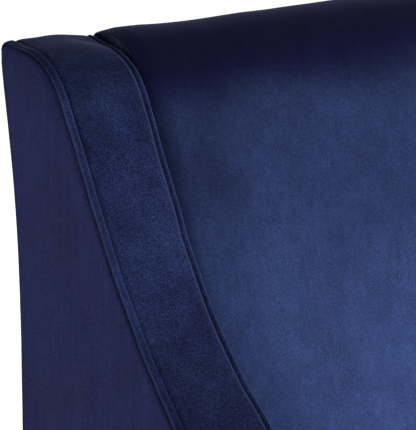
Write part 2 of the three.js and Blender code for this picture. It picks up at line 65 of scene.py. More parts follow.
# Side outline, as in the CAD: points are (y, z), angles in degrees.
REAR_LOW_Y = 377.5 * MM
FLARE = [(REAR_LOW_Y, 770 * MM), (379 * MM, 890 * MM), (397 * MM, 950 * MM), (REAR_TOP_Y, 985 * MM)]
WING_CORNER = {"y": 376.5 * MM, "z": 933.2 * MM, "radius": 65 * MM, "start": 94, "end": 150}
SWOOP_PULL = 120 * MM
ARM_START = {"y": -80 * MM, "z": 632 * MM, "slope": 3, "pull": 240 * MM}
ARM_CORNER_RADIUS = 45 * MM
REAR_ROUND = 8 * MM              # rounding of the wing's rear top edge
BAND_END = 12                    # where on that rounding the band goes in behind the outside back, in degrees
HEM_ROUND = 4 * MM

# Back pad, as in the CAD
BACK_LEAN = math.radians(17)
ROLL_RADIUS = 58 * MM
ROLL_Y = 379 * MM
ROLL_Z = BACK_TOP_Z - ROLL_RADIUS


# ------------------------------------------------------------------ curves in the (y, z) plane

def arc(centre, radius, start, end, count=24):
    """Points on an arc; angles in degrees, measured from +Y towards +Z."""
    angle = np.radians(np.linspace(start, end, count))
    return np.stack([centre[0] + radius * np.cos(angle), centre[1] + radius * np.sin(angle)], 1)


def bezier(points, count=80):
    p = np.array(points, float)
    t = np.linspace(0, 1, count)[:, None]
    return (1 - t) ** 3 * p[0] + 3 * (1 - t) ** 2 * t * p[1] + 3 * (1 - t) * t * t * p[2] + t ** 3 * p[3]


def resample(points, step=None, count=None):
    """The same polyline with even spacing."""
    points = np.array(points, float)
    length = np.linalg.norm(np.diff(points, axis=0), axis=1)
    points = points[np.concatenate([[True], length > 1e-7])]
    along = np.concatenate([[0], np.cumsum(np.linalg.norm(np.diff(points, axis=0), axis=1))])
    count = count or int(round(along[-1] / step)) + 1
    where = np.linspace(0, along[-1], count)
    return np.stack([np.interp(where, along, points[:, k]) for k in range(points.shape[1])], 1)


def outward(points):
    """Unit normals on the right-hand side of the path, which is outside for these outlines."""
    tangent = np.gradient(points, axis=0)
    normal = np.stack([tangent[:, 1], -tangent[:, 0]], 1)
    return normal / np.linalg.norm(normal, axis=1)[:, None]


def band_path(step):
    """From the outside back, over the wing, along the arm and down its front to the hem."""
    corner = WING_CORNER
    wing = arc((corner["y"], corner["z"]), corner["radius"], corner["start"], corner["end"])
    rear = arc((REAR_TOP_Y - REAR_ROUND, WING_TOP_Z - REAR_ROUND), REAR_ROUND, BAND_END, 90)
    slope = math.radians(corner["end"] - 90)
    level = math.radians(ARM_START["slope"])
    top = wing[-1]
    start = np.array([ARM_START["y"], ARM_START["z"]])
    swoop = bezier([
        top, top - SWOOP_PULL * np.array([math.cos(slope), math.sin(slope)]),
        start + ARM_START["pull"] * np.array([math.cos(level), math.sin(level)]), start])
    front_y = FRONT_Y + ARM_CORNER_RADIUS
    front_z = start[1] - (start[0] - front_y) * math.tan(level)
    front = arc((front_y, front_z - ARM_CORNER_RADIUS), ARM_CORNER_RADIUS, 90 + ARM_START["slope"], 180)
    hem = arc((FRONT_Y + HEM_ROUND, SKIRT_Z + HEM_ROUND), HEM_ROUND, 180, 270)
    under = [(FRONT_Y + 18 * MM, SKIRT_Z)]
    return resample(np.vstack([rear, wing, swoop, front, hem, under]), step=step)


def rear_profile(top_z):
    """The outside back's line in (y, z), from the hem up."""
    return np.vstack([[(REAR_LOW_Y, SKIRT_Z)], bezier(FLARE), [(REAR_TOP_Y, top_z)]])


# ------------------------------------------------------------------ mesh helpers

def soft_noise(points, size, seed):
    """A smooth pseudo-random value from about -1 to 1; size is the length of a typical wave."""
    rng = np.random.default_rng(seed)
    points = np.asarray(points, float)
    total = np.zeros(len(points))
    for _ in range(9):
        direction = rng.normal(size=points.shape[1])
        direction *= (0.6 + 0.9 * rng.random()) * 2 * math.pi / (size * np.linalg.norm(direction))
        total += np.sin(points @ direction + rng.random() * 2 * math.pi)
    return total / 4.2


def waves(points, kind):
    return kind["height"] * soft_noise(points, kind["size"], kind["seed"])


def grid_faces(rows, columns, wrap=False):
    across = columns if wrap else columns - 1
    faces = []
    for i in range(rows - 1):
        for j in range(across):
            k = (j + 1) % columns
            faces.append((i * columns + j, i * columns + k, (i + 1) * columns + k, (i + 1) * columns + j))
    return faces


def make_piece(name, points, faces, material, flip=False, shade=None):
    """A smooth mesh object; shade is a value per point that the velvet reads as painted shade and highlight,
    dark crease to lit edge.
    """
    mesh = bpy.data.meshes.new(name)
    if flip:
        faces = [tuple(reversed(face)) for face in faces]
    mesh.from_pydata([tuple(p) for p in np.asarray(points, float)], [], faces)
    mesh.update()
    mesh.shade_smooth()
    if shade is not None:
        attribute = mesh.attributes.new("edge_shade", "FLOAT", "POINT")
        attribute.data.foreach_set("value", np.asarray(shade, np.float32))
    piece = bpy.data.objects.new(name, mesh)
    bpy.context.scene.collection.objects.link(piece)
    piece.data.materials.append(material)
    return piece


def tube_faces(rows, columns):
    """Faces of a closed skin of rings, with both ends capped."""
    faces = grid_faces(rows, columns, wrap=True)
    faces.append(tuple(range(columns)))
    faces.append(tuple(reversed(range((rows - 1) * columns, rows * columns))))
    return faces


def flat_grid(across, along):
    """Points of a flat grid, row by row."""
    x, y = np.meshgrid(across, along)
    return np.stack([x.ravel(), y.ravel()], 1)


def to_edge(flat, low, high):
    """Distance from each point to the nearest side of a rectangle."""
    return np.minimum(flat - low, high - flat).min(1)


def look_up(table, key, at):
    """The table's value under key, between its rows; its first column says where they hold, in mm."""
    return np.interp(at / MM, table[next(iter(table))], table[key])


def lathe(profile, segments=64, centre=(0, 0)):
    """Points and faces of a closed profile of (radius, z) turned round a vertical axis."""
    profile = np.asarray(profile, float)
    angle = np.arange(segments) * 2 * math.pi / segments
    points = np.stack([
        centre[0] + np.cos(angle)[:, None] * profile[None, :, 0],
        centre[1] + np.sin(angle)[:, None] * profile[None, :, 0],
        np.repeat(profile[None, :, 1], segments, 0)], 2).reshape(-1, 3)
    count = len(profile)
    faces = []
    for i in range(segments):
        ahead = (i + 1) % segments
        for j in range(count):
            k = (j + 1) % count
            faces.append((i * count + j, ahead * count + j, ahead * count + k, i * count + k))
    return points, faces


def gather(parts):
    """Several (points, faces) as one."""
    points, faces = [], []
    for part_points, part_faces in parts:
        first = len(points)
        points.extend(np.asarray(part_points, float).tolist())
        faces.extend([tuple(index + first for index in face) for face in part_faces])
    return points, faces


def sweep(path, up, section, loop=False):
    """Points and faces of a closed section (across, height) carried along a path; up is the normal there,
    one for each point or one for all of them."""
    path, section = np.asarray(path, float), np.asarray(section, float)
    up = np.broadcast_to(np.asarray(up, float), path.shape)
    if loop:
        tangent = np.roll(path, -1, axis=0) - np.roll(path, 1, axis=0)
    else:
        tangent = np.gradient(path, axis=0)
    tangent /= np.linalg.norm(tangent, axis=1)[:, None]
    lift = up - tangent * (up * tangent).sum(1)[:, None]
    lift /= np.linalg.norm(lift, axis=1)[:, None]
    across = np.cross(lift, tangent)
    points = (path[:, None] + across[:, None] * section[None, :, :1] + lift[:, None] * section[None, :, 1:])
    rows, columns = len(path), len(section)
    if not loop:
        return points.reshape(-1, 3), tube_faces(rows, columns)
    faces = grid_faces(rows, columns, wrap=True)
    last = (rows - 1) * columns
    for j in range(columns):
        k = (j + 1) % columns
        faces.append((last + j, last + k, k, j))
    return points.reshape(-1, 3), faces


def round_section(radius, count):
    angle = np.arange(count) * 2 * math.pi / count
    return np.stack([radius * np.cos(angle), radius * np.sin(angle)], 1)


def edit_mesh(piece, change):
    work = bmesh.new()
    work.from_mesh(piece.data)
    change(work)
    work.to_mesh(piece.data)
    work.free()
    return piece


def fix_normals(piece):
    """Make every face point out of its closed shell."""
    return edit_mesh(piece, lambda work: bmesh.ops.recalc_face_normals(work, faces=work.faces))


def place(piece, body, slot, *nodes):
    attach(piece, body)
    if nodes:
        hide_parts(*nodes)
    return piece


def shell(name, parts, material, body, slot, *nodes):
    """Closed skins, given as (points, faces), in one piece with their faces outwards."""
    return place(fix_normals(make_piece(name, *gather(parts), material)), body, slot, *nodes)


def cover(name, node, points, faces, material, shade, flip=False, thickness=None):
    """A stuffed velvet piece of the seat, in place of a CAD solid; a sheet of it gets a thickness."""
    piece = make_piece(name, points, faces, material, flip, shade)
    if thickness:
        solid = piece.modifiers.new("thickness", "SOLIDIFY")
        solid.thickness = thickness
        solid.offset = -1
    return place(piece, "seat", "velvet", node)


# ------------------------------------------------------------------ materials

class Nodes:
    """Short names for building one material's nodes."""

    def __init__(self, name):
        self.material = bpy.data.materials.new(name)
        self.material.use_nodes = True
        self.tree = self.material.node_tree
        self.shader = self.tree.nodes["Principled BSDF"]

    def new(self, kind, **settings):
        node = self.tree.nodes.new(kind)
        for key, value in settings.items():
            setattr(node, key, value)
        return node

    def link(self, source, target):
        self.tree.links.new(source, target)

    def put(self, colour, normal=None, **constants):
        """Link the shader's colour and normal; the constants are its other sockets, with _ for a space."""
        self.link(colour, self.shader.inputs["Base Color"])
        if normal is not None:
            self.link(normal, self.shader.inputs["Normal"])
        for key, value in constants.items():
            self.shader.inputs[key.replace("_", " ")].default_value = value
        return self.material

    def spread(self, value, low, high, band=0.2):
        """A noise socket's middle band stretched to a range."""
        return self.remap(value, 0.5 - band, 0.5 + band, low, high)

    def coordinates(self, scale=(1, 1, 1)):
        where = self.new("ShaderNodeTexCoord")
        mapping = self.new("ShaderNodeMapping")
        mapping.inputs["Scale"].default_value = scale
        self.link(where.outputs["Object"], mapping.inputs["Vector"])
        return mapping.outputs["Vector"]

    def noise(self, scale, detail=3, stretch=(1, 1, 1), roughness=0.55, distortion=0.0):
        node = self.new("ShaderNodeTexNoise")
        for key, number in zip(("Scale", "Detail", "Roughness", "Distortion"),
                               (scale, detail, roughness, distortion)):
            node.inputs[key].default_value = number
        self.link(self.coordinates(stretch), node.inputs["Vector"])
        return node.outputs["Fac"]

    def remap(self, value, low, high, to_low, to_high):
        node = self.new("ShaderNodeMapRange")
        self.link(value, node.inputs["Value"])
        for key, number in zip(("From Min", "From Max", "To Min", "To Max"), (low, high, to_low, to_high)):
            node.inputs[key].default_value = number
        return node.outputs["Result"]

    def fill(self, socket, value):
        """Set a socket, or link another socket to it."""
        if hasattr(value, "is_linked"):
            self.link(value, socket)
        else:
            socket.default_value = value

    def math(self, operation, first, second):
        node = self.new("ShaderNodeMath", operation=operation)
        self.fill(node.inputs[0], first)
        self.fill(node.inputs[1], second)
        return node.outputs["Value"]

    def mix(self, factor, first, second):
        node = self.new("ShaderNodeMix", data_type="RGBA")
        a, b = [socket for socket in node.inputs if socket.type == "RGBA"]
        for socket, value in ((node.inputs["Factor"], factor), (a, first), (b, second)):
            self.fill(socket, value)
        return [socket for socket in node.outputs if socket.type == "RGBA"][0]

    def tinted(self, colour, factor):
        """A colour times a factor socket."""
        node = self.new("ShaderNodeVectorMath", operation="SCALE")
        self.fill(node.inputs[0], colour)
        self.link(factor, node.inputs["Scale"])
        return node.outputs["Vector"]

    def bump(self, height, strength, distance):
        node = self.new("ShaderNodeBump")
        node.inputs["Strength"].default_value = strength
        node.inputs["Distance"].default_value = distance
        self.link(height, node.inputs["Height"])
        return node.outputs["Normal"]


LIT_FOLD = (0.0225, 0.0290, 0.0760)     # colour of a painted highlight on a fold
DARKEST = 0.1                           # the factor of painted shade on the pile's colour where the edge shade is -1
# painted shade where a velvet faces up, as (upward part of the normal, factor)
PLAIN_TOPS = ((0.0, 1.0), (0.38, 0.97), (0.62, 0.8), (0.86, 0.6))


def velvet(name, colour, cool, tops=PLAIN_TOPS, nap=(26, 26, 3.5), mottle=0.13, grain=0.10, lit=None,
           sheen=0.05, shadow=None):
    """Cut pile, mottled where it has been brushed. tops gives the painted shade where it faces up, as (upward
    part of the normal, factor); lit is a painted pool of light, as (centre, near, far, near factor, far
    factor);
    shadow is the hue of painted shade."""
    n = Nodes(name)
    clouds = n.noise(9, detail=4, distortion=0.4)
    streaks = n.noise(1, stretch=nap)
    fine_streaks = n.noise(1, stretch=tuple(9 * value for value in nap))
    patches = n.noise(50, detail=5, roughness=0.75)
    fuzz = n.noise(900, detail=2, roughness=0.7)
    factor = n.math("MULTIPLY", n.spread(clouds, 1 - mottle, 1 + mottle), n.spread(streaks, 0.94, 1.06))
    factor = n.math("MULTIPLY", factor, n.spread(fine_streaks, 0.90, 1.10))
    factor = n.math("MULTIPLY", factor, n.spread(patches, 1 - mottle, 1 + mottle))
    factor = n.math("MULTIPLY", factor, n.spread(fuzz, 1 - grain, 1 + grain, band=0.14))
    # painted shade where the surface faces up
    axes = n.new("ShaderNodeSeparateXYZ")
    n.link(n.new("ShaderNodeNewGeometry").outputs["Normal"], axes.inputs[0])
    ramp = n.new("ShaderNodeValToRGB")
    ramp.color_ramp.interpolation = "EASE"
    for index, (upward, value) in enumerate(tops):
        stop = ramp.color_ramp.elements[index] if index < 2 else ramp.color_ramp.elements.new(upward)
        stop.position = upward
        stop.color = (value, value, value, 1)
    n.link(axes.outputs["Z"], ramp.inputs["Fac"])
    factor = n.math("MULTIPLY", factor, ramp.outputs["Color"])
    # painted pool of light: lighter near a centre in the object's coordinates
    if lit:
        centre, near, far, near_factor, far_factor = lit
        distance = n.new("ShaderNodeVectorMath", operation="DISTANCE")
        n.link(n.coordinates(), distance.inputs[0])
        distance.inputs[1].default_value = centre
        reach = n.math("ADD", distance.outputs["Value"], n.spread(clouds, -0.03, 0.03))
        factor = n.math("MULTIPLY", factor, n.remap(reach, near, far, near_factor, far_factor))
    # painted shade and highlight, read from each piece's edge_shade values
    shade = n.new("ShaderNodeAttribute", attribute_name="edge_shade").outputs["Fac"]
    factor = n.math("MULTIPLY", factor, n.remap(shade, -1, 0, DARKEST, 1))
    hue = n.mix(n.spread(clouds, 0, 1, band=0.15), (*colour, 1), (*cool, 1))
    # painted shade takes on the shadow hue where the edge shade is low
    if shadow:
        hue = n.mix(n.remap(shade, -0.85, -0.35, 1, 0), hue, (*shadow, 1))
    # painted highlight: where the edge shade is above 0 the colour turns towards LIT_FOLD
    highlighted = n.mix(n.remap(shade, 0, 1, 0, 1), n.tinted(hue, factor), (*LIT_FOLD, 1))
    return n.put(highlighted, n.bump(fuzz, 0.35, 0.0006), Roughness=0.95, Specular_IOR_Level=0.02,
                 Sheen_Weight=sheen, Sheen_Roughness=0.35, Sheen_Tint=(0.42, 0.44, 0.90, 1))


def thread(name):
    n = Nodes(name)
    twist = n.noise(900, detail=1)
    return n.put(n.tinted((0.0060, 0.0080, 0.0280), n.spread(twist, 0.7, 1.3)), Roughness=0.9,
                 Specular_IOR_Level=0.05)


def woven(name, colour, pitch):
    """Plain lining or webbing: a fine over-and-under weave."""
    n = Nodes(name)
    across, along = (n.new("ShaderNodeTexWave", wave_type="BANDS", bands_direction=axis) for axis in "XY")
    for wave in (across, along):
        wave.inputs["Scale"].default_value = 0.32 / pitch
        wave.inputs["Distortion"].default_value = 0.6
        n.link(n.coordinates(), wave.inputs["Vector"])
    weave = n.math("MULTIPLY", across.outputs["Fac"], along.outputs["Fac"])
    dust = n.noise(14, detail=4)
    factor = n.math("MULTIPLY", n.remap(weave, 0, 1, 0.7, 1.25), n.spread(dust, 0.85, 1.2))
    return n.put(n.tinted(colour, factor), n.bump(weave, 0.5, pitch * 0.4), Roughness=0.9)


def metal(name, colour, roughness, metallic, scratch=0.12, coat=0.0):
    n = Nodes(name)
    cloud = n.noise(18, detail=4)
    brushed = n.noise(1, detail=2, stretch=(60, 900, 60))
    factor = n.math("MULTIPLY", n.spread(cloud, 0.9, 1.1), n.spread(brushed, 1 - scratch, 1 + scratch))
    n.link(n.spread(n.noise(45, detail=5), roughness * 0.8, roughness * 1.25), n.shader.inputs["Roughness"])
    return n.put(n.tinted(colour, factor), n.bump(n.noise(700, detail=2), 0.15, 0.0003), Metallic=metallic,
                 Coat_Weight=coat)


def timber(name, light, dark, stretch, scale=6):
    n = Nodes(name)
    grain = n.noise(scale, detail=6, stretch=stretch, distortion=0.8)
    pores = n.noise(scale * 9, detail=2, stretch=stretch)
    hue = n.mix(n.spread(grain, 0, 1, band=0.18), (*light, 1), (*dark, 1))
    return n.put(n.tinted(hue, n.spread(pores, 0.85, 1.08)), n.bump(pores, 0.2, 0.0004), Roughness=0.6)


def plastic(name, colour):
    n = Nodes(name)
    speckle = n.noise(300)
    return n.put(n.tinted(colour, n.spread(speckle, 0.85, 1.15)), n.bump(speckle, 0.25, 0.0003),
                 Roughness=0.45)


# These velvets are one cloth: their colours are set apart per piece as painted light and shade, to match how
# light falls on each part.
SIDE_VELVET = velvet("velvet_side", (0.0132, 0.0138, 0.0485), (0.0108, 0.0142, 0.0492),
                     nap=(40, 40, 2.5), mottle=0.09, grain=0.32)
BAND_VELVET = velvet("velvet_band", (0.0076, 0.0100, 0.0365), (0.0080, 0.0130, 0.0415),
                     tops=((0.0, 1.0), (0.50, 1.0), (0.60, 0.85), (0.70, 0.66), (0.82, 0.5), (1.0, 0.46)),
                     mottle=0.25, grain=0.66, sheen=0.07)
BACK_VELVET = velvet("velvet_back", (0.0099, 0.0153, 0.0460), (0.0118, 0.0196, 0.0572),
                     tops=((0.0, 1.0), (0.36, 1.0), (1.0, 0.85)),
                     mottle=0.12, grain=0.30, lit=((-0.12, 0.26, 0.66), 0.06, 0.28, 2.1, 1.02), sheen=0.06,
                     shadow=(0.0122, 0.0124, 0.0610))
SEAT_VELVET = velvet("velvet_seat", (0.0105, 0.0165, 0.0500), (0.0125, 0.0215, 0.0640),
                     tops=((0.0, 1.0), (0.5, 1.0), (1.0, 0.9)), mottle=0.10, grain=0.34)
THREAD = thread("stitching_thread")
LINING = woven("dust_cover_cloth", (0.014, 0.014, 0.016), 0.0012)
WEBBING = woven("elastic_webbing", (0.03, 0.03, 0.034), 0.003)
BLACK_STEEL = metal("black_powder_coat", (0.012, 0.012, 0.013), 0.42, 0.0, scratch=0.05, coat=0.15)
ZINC = metal("zinc_plate", (0.42, 0.43, 0.45), 0.34, 1.0)
BEECH = timber("beech", (0.52, 0.35, 0.19), (0.36, 0.22, 0.11), (0.6, 9, 9))
PLYWOOD = timber("plywood", (0.50, 0.34, 0.18), (0.33, 0.21, 0.10), (9, 0.8, 0.8))
NYLON = plastic("nylon", (0.02, 0.02, 0.022))


# ------------------------------------------------------------------ camera, floor and light

VIEW_AZIMUTH = math.radians(35)      # towards the sitter's right
VIEW_ELEVATION = math.radians(12.5)
VIEW_DISTANCE = 2.8
VIEW_LENS = 312.6
VIEW_TARGET = Vector((-HALF_WIDTH + 0.150, REAR_TOP_Y - 0.0584, WING_TOP_Z - 0.1411))


def add_camera():
    back = Vector((
        -math.sin(VIEW_AZIMUTH) * math.cos(VIEW_ELEVATION),
        -math.cos(VIEW_AZIMUTH) * math.cos(VIEW_ELEVATION), math.sin(VIEW_ELEVATION)))
    data = bpy.data.cameras.new("camera")
    data.sensor_fit = "HORIZONTAL"
    data.sensor_width = 36
    data.lens = VIEW_LENS
    camera = bpy.data.objects.new("camera", data)
    camera.location = VIEW_TARGET + back * VIEW_DISTANCE
    camera.rotation_euler = (-back).to_track_quat("-Z", "Y").to_euler()
    bpy.context.scene.collection.objects.link(camera)
    bpy.context.scene.camera = camera


def add_area(name, location, target, size, power, colour=(1, 1, 1)):
    data = bpy.data.lights.new(name, "AREA")
    data.shape = "DISK"
    data.size = size
    data.energy = power
    data.color = colour
    lamp = bpy.data.objects.new(name, data)
    lamp.location = location
    lamp.rotation_euler = (Vector(target) - Vector(location)).to_track_quat("-Z", "Y").to_euler()
    bpy.context.scene.collection.objects.link(lamp)


def add_stage():
    n = Nodes("pale_floor")
    pale = n.put(n.tinted((0.93, 0.93, 0.93), n.spread(n.noise(0.7, detail=2), 0.99, 1.0)), Roughness=0.9)
    side = 40
    floor = make_piece("floor", [(-side, -side, 0), (side, -side, 0), (side, side, 0), (-side, side, 0)],
                       [(0, 1, 2, 3)], pale)
    world = bpy.data.worlds.new("studio")
    world.use_nodes = True
    background = world.node_tree.nodes["Background"]
    background.inputs["Color"].default_value = (1, 1, 1, 1)
    background.inputs["Strength"].default_value = 1.15
    bpy.context.scene.world = world
    bpy.context.scene.view_settings.view_transform = "Standard"
    add_area("key_light", (2.3, -2.6, 1.25), (0, 0.2, 0.75), 1.6, 180)
    add_area("rear_light", (-2.4, 3.4, 1.7), (0, 0.2, 0.6), 2.2, 38)


add_camera()
add_stage()


# ------------------------------------------------------------------ arm bands with their raised seams

# The band's section beside its two seams: (distance in from the band's edge, height above the outline,
# edge shade: painted shade in the creases and painted highlight on the folds), in mm.
OUTER_SEAM = [
    (3.2, -12.0, -0.67), (2.9, -3.0, -0.6), (2.6, -0.8, -0.5), (2.2, -0.3, -0.45), (1.7, 0.1, -0.3),
    (1.2, 0.6, 0.1), (1.0, 1.2, 0.6), (1.3, 1.8, 1.0), (2.0, 2.2, 0.4), (3.0, 2.4, -0.1),
    (4.4, 2.6, -0.1), (5.6, 2.7, 0.0), (6.5, 2.7, 0.2), (7.2, 2.4, 0.5), (7.7, 1.9, 0.2),
    (8.1, 1.2, -0.4), (8.6, 1.0, -0.45), (9.2, 1.2, -0.3), (10.0, 1.7, -0.08), (11.2, 2.2, 0.0),
    (13.2, 2.6, 0.05), (16.0, 2.9, 0.0), (21.0, 3.2, 0.0), (27.0, 3.4, 0.0), (33.0, 3.5, 0.0)]
INNER_SEAM = [
    (2.2, -24.0, -0.67), (1.6, -3.0, -0.67), (1.0, -1.4, -0.67), (0.4, -0.8, -0.5), (0.0, -0.2, -0.2),
    (-0.1, 0.3, 0.2), (0.1, 0.9, 0.7), (0.6, 1.4, 0.8), (1.3, 1.6, 0.2), (2.2, 1.7, -0.1),
    (3.1, 1.5, -0.2), (3.8, 1.1, -0.35), (4.2, 0.75, -0.55), (4.6, 0.6, -0.67), (5.0, 0.7, -0.55),
    (5.5, 1.1, -0.05), (6.1, 1.6, 0.7), (7.0, 1.9, 0.35), (8.5, 2.2, 0.05), (12.0, 2.6, 0.0),
    (16.0, 2.9, 0.0), (21.0, 3.2, 0.0), (27.0, 3.4, 0.0), (33.0, 3.5, 0.0)]
CROWN = (40.0, 3.5, 0.0)
STITCHES = {"outer": {"in": 8.5 * MM, "height": 0.85 * MM, "seed": 14},
            "inner": {"in": 4.6 * MM, "height": 0.45 * MM, "seed": 15}}
# The inner seam was sewn off the straight line: at each height, how far it lies towards the back pad, in mm.
INNER_DRIFT = {"z": [680, 720, 747, 766, 784, 803, 825, 842, 867, 884, 914, 945, 989],
               "move": [0, 1.0, 1.3, -1.8, -3.2, -4.4, -4.8, -4.8, -4.7, -3.6, -3.1, -2.4, -2.5]}
DRIFT_ACROSS = (0.5, 0.8)        # shares of the band's width where that drift begins and is full
DROP_ACROSS = (0.55, 0.9)        # and where the band's drop beside the back pad begins and is full
PATH_STEP = 3 * MM
SEAM_WANDER = 0.3 * MM
# How much of the band's height is left where it ends on the outside back.
BAND_END_HEIGHT = {"along": [0, 14], "kept": [0.65, 1]}
NUB = {"height": 1.9 * MM, "reach": 8 * MM, "inward": 22 * MM}    # the folded end of the outer seam
WING_FULL = {"along": [0, 10, 45, 75], "height": [0.15, 0.25, 0.25, 0]}     # extra padding on top of the wing
SEAM_WIDTH = 9 * MM              # how far in from an edge its seam pulls the cloth
SWELL = {"size": 0.16, "height": 0.7 * MM, "seed": 11}
CRINKLE = {"size": 0.03, "height": 0.22 * MM, "seed": 12}
PUCKER = {"size": 0.011, "height": 0.14 * MM, "seed": 13}
RETURN_TONE_BELOW_DECK = 0.45    # share of the painted shade that the inner return keeps there, where it stands beside the front border, less in the dark
# painted fold highlights, as a share at each height
FOLD_HIGHLIGHTS = {"z": [760, 850, 900], "outer": [0.6, 0.8, 1.0], "stitched": [0.1, 0.7, 1.0]}
# painted shade on the band around the wing's corner: along the band, and as a share across it
WING_SHADE = {"along": [56, 82, 125, 165], "shade": [0, -0.36, -0.36, 0]}
WING_SHADE_ACROSS = {"inward": [8, 25, 45, 60], "share": [1.2, 1.0, 0.7, 1.0]}
INNER_DROP = {"along": [0, 12, 30, 50, 75], "drop": [1.0, 1.2, 3.4, 2.4, 0.0]}   # beside the back pad
FOLD_FADE = (75 * MM, 100 * MM)  # along the band: from a painted-shade outer fold to one with a painted highlight
# How far in from the outer edge its raised fold, the dip behind it and the stitched fold end, and how far
# the inner seam's folds reach.
ZONES = {"fold": 2.5 * MM, "dip": 6 * MM, "stitched": 8 * MM, "inner": 7 * MM}


def band_section():
    inner = np.array(INNER_SEAM[::-1])
    inner[:, 0] = ARM_WIDTH / MM - inner[:, 0]
    section = np.vstack([OUTER_SEAM, CROWN, inner])
    return section * [MM, MM, 1]


def wander(along, inward, z):
    """How far the sewn lines stray sideways."""
    seed = STITCHES["outer" if inward < ARM_WIDTH / 2 else "inner"]["seed"]
    share = np.interp(inward / ARM_WIDTH, DRIFT_ACROSS, (0, 1))
    return SEAM_WANDER * soft_noise(along[:, None], 0.09, seed) + share * look_up(INNER_DRIFT, "move", z) * MM


def settled(along, inward, height):
    """Height over the outline; lower where the band ends on the outside back and beside the back pad."""
    drop = look_up(INNER_DROP, "drop", along) * MM
    lift = height * look_up(BAND_END_HEIGHT, "kept", along)
    lift -= drop * np.interp(inward / ARM_WIDTH, DROP_ACROSS, (0, 1))
    lift += look_up(WING_FULL, "height", along) * MM
    if inward < NUB["inward"] and height > 0:
        lift += NUB["height"] * (1 - inward / NUB["inward"]) ** 0.5 * np.exp(-(along / NUB["reach"]) ** 2)
    return lift


def on_band(side, inward, lift, path, normal, along):
    """Points over the band's outline, so far in from its outer edge."""
    across = HALF_WIDTH - inward - wander(along, inward, path[:, 1])
    return np.column_stack([side * across, path + normal * lift[:, None]])


def arm_band(side, label):
    path = band_path(PATH_STEP)
    normal = outward(path)
    section = band_section()
    rows, columns = len(path), len(section)
    along = np.arange(rows) * PATH_STEP
    lit_fold = np.interp(along, FOLD_FADE, [0, 1])
    points, shade = [], []
    for inward, height, tone in section:
        edge = min(inward, ARM_WIDTH - inward)
        seam = math.exp(-(max(edge, 0) / SEAM_WIDTH) ** 2)
        here = np.stack([along, np.full(rows, inward)], 1)
        wave = waves(here, SWELL) * (1 - seam) + waves(here, CRINKLE) + waves(along[:, None], PUCKER) * seam
        lift = settled(along, inward, height) + wave
        points.append(on_band(side, inward, lift, path, normal, along))
        # painted shade and highlight along the band: edge shade, painted fold highlights, painted shade in
        # the dip and under the wing's corner
        tones = np.full(rows, tone)
        if height < 0 and inward > ARM_WIDTH / 2:
            tones *= np.where(path[:, 1] > DECK_Z, 1, RETURN_TONE_BELOW_DECK)
        if inward < ZONES["fold"] and tone > 0:
            tones *= lit_fold * look_up(FOLD_HIGHLIGHTS, "outer", path[:, 1])
        elif inward < ZONES["dip"]:
            tones = tones - 0.30 * (1 - lit_fold)
        elif inward < ZONES["stitched"] and tone > 0:
            tones *= look_up(FOLD_HIGHLIGHTS, "stitched", path[:, 1]) * (0.3 + 0.7 * lit_fold)
        if ZONES["stitched"] < inward < ARM_WIDTH - ZONES["inner"]:
            across = look_up(WING_SHADE_ACROSS, "share", inward)
            tones = tones + across * look_up(WING_SHADE, "shade", along)
        shade.append(tones)
    cover(f"arm_band_cover_{label}", f"arm_band_{label}", np.stack(points, 1).reshape(-1, 3),
          tube_faces(rows, columns), BAND_VELVET, np.stack(shade, 1).reshape(-1), flip=side > 0)


# ------------------------------------------------------------------ stitches

STITCH = {"length": 3.2 * MM, "pitch": 4.0 * MM, "radius": 0.36 * MM, "sink": 0.5 * MM}
CAPSULE = [(-0.5, 0.25), (-0.32, 0.95), (0.0, 1.1), (0.32, 0.95), (0.5, 0.25)]   # place, width along it


def point_at(where, along, values):
    return np.array([np.interp(where, along, values[:, axis]) for axis in range(3)])


def stitches(name, path, up):
    """One low capsule per stitch along a 3-D path, lying in the cloth; up is the cloth's normal there."""
    path = np.asarray(path, float)
    up = np.broadcast_to(np.asarray(up, float), path.shape)
    along = np.concatenate([[0], np.cumsum(np.linalg.norm(np.diff(path, axis=0), axis=1))])
    ring = round_section(STITCH["radius"], 6)
    capsule = [tuple(reversed(face)) if len(face) == 6 else face for face in tube_faces(len(CAPSULE), 6)]
    parts = []
    for middle in (np.arange(int(along[-1] / STITCH["pitch"])) + 0.5) * STITCH["pitch"]:
        at = point_at(middle, along, path)
        lift = point_at(middle, along, up)
        tangent = point_at(middle + STITCH["length"] / 2, along, path) - at
        tangent /= np.linalg.norm(tangent)
        lift -= tangent * (lift @ tangent)
        lift /= np.linalg.norm(lift)
        across = np.cross(tangent, lift)
        points = []
        for position, width in CAPSULE:
            centre = at + tangent * position * STITCH["length"] - lift * abs(position) * STITCH["sink"]
            points.extend(centre + width * (ring[:, :1] * across + ring[:, 1:] * lift))
        parts.append((points, capsule))
    return place(make_piece(name, *gather(parts), THREAD), "seat", "velvet")


def arm_stitching(side, label):
    path = band_path(PATH_STEP)
    normal = outward(path)
    along = np.arange(len(path)) * PATH_STEP
    for which, line_at in STITCHES.items():
        inward = line_at["in"] if which == "outer" else ARM_WIDTH - line_at["in"]
        line = on_band(side, inward, settled(along, inward, line_at["height"]), path, normal, along)
        stitches(f"arm_stitching_{which}_{label}", line, np.column_stack([np.zeros(len(path)), normal]))


# ------------------------------------------------------------------ side panels and inner arm covers

SEAM_DEPTH = 0.2 * MM            # from the outline to where a side panel meets its seam


def coons(bottom, top, left, right):
    """A grid between four curves; bottom and top run the same way, and so do left and right."""
    columns, rows = len(bottom), len(left)
    s = crowded(columns)[None, :, None]
    t = crowded(rows)[:, None, None]
    corners = ((1 - s) * (1 - t) * bottom[0] + s * (1 - t) * bottom[-1]
               + (1 - s) * t * top[0] + s * t * top[-1])
    return (1 - t) * bottom[None] + t * top[None] + (1 - s) * left[:, None] + s * right[:, None] - corners


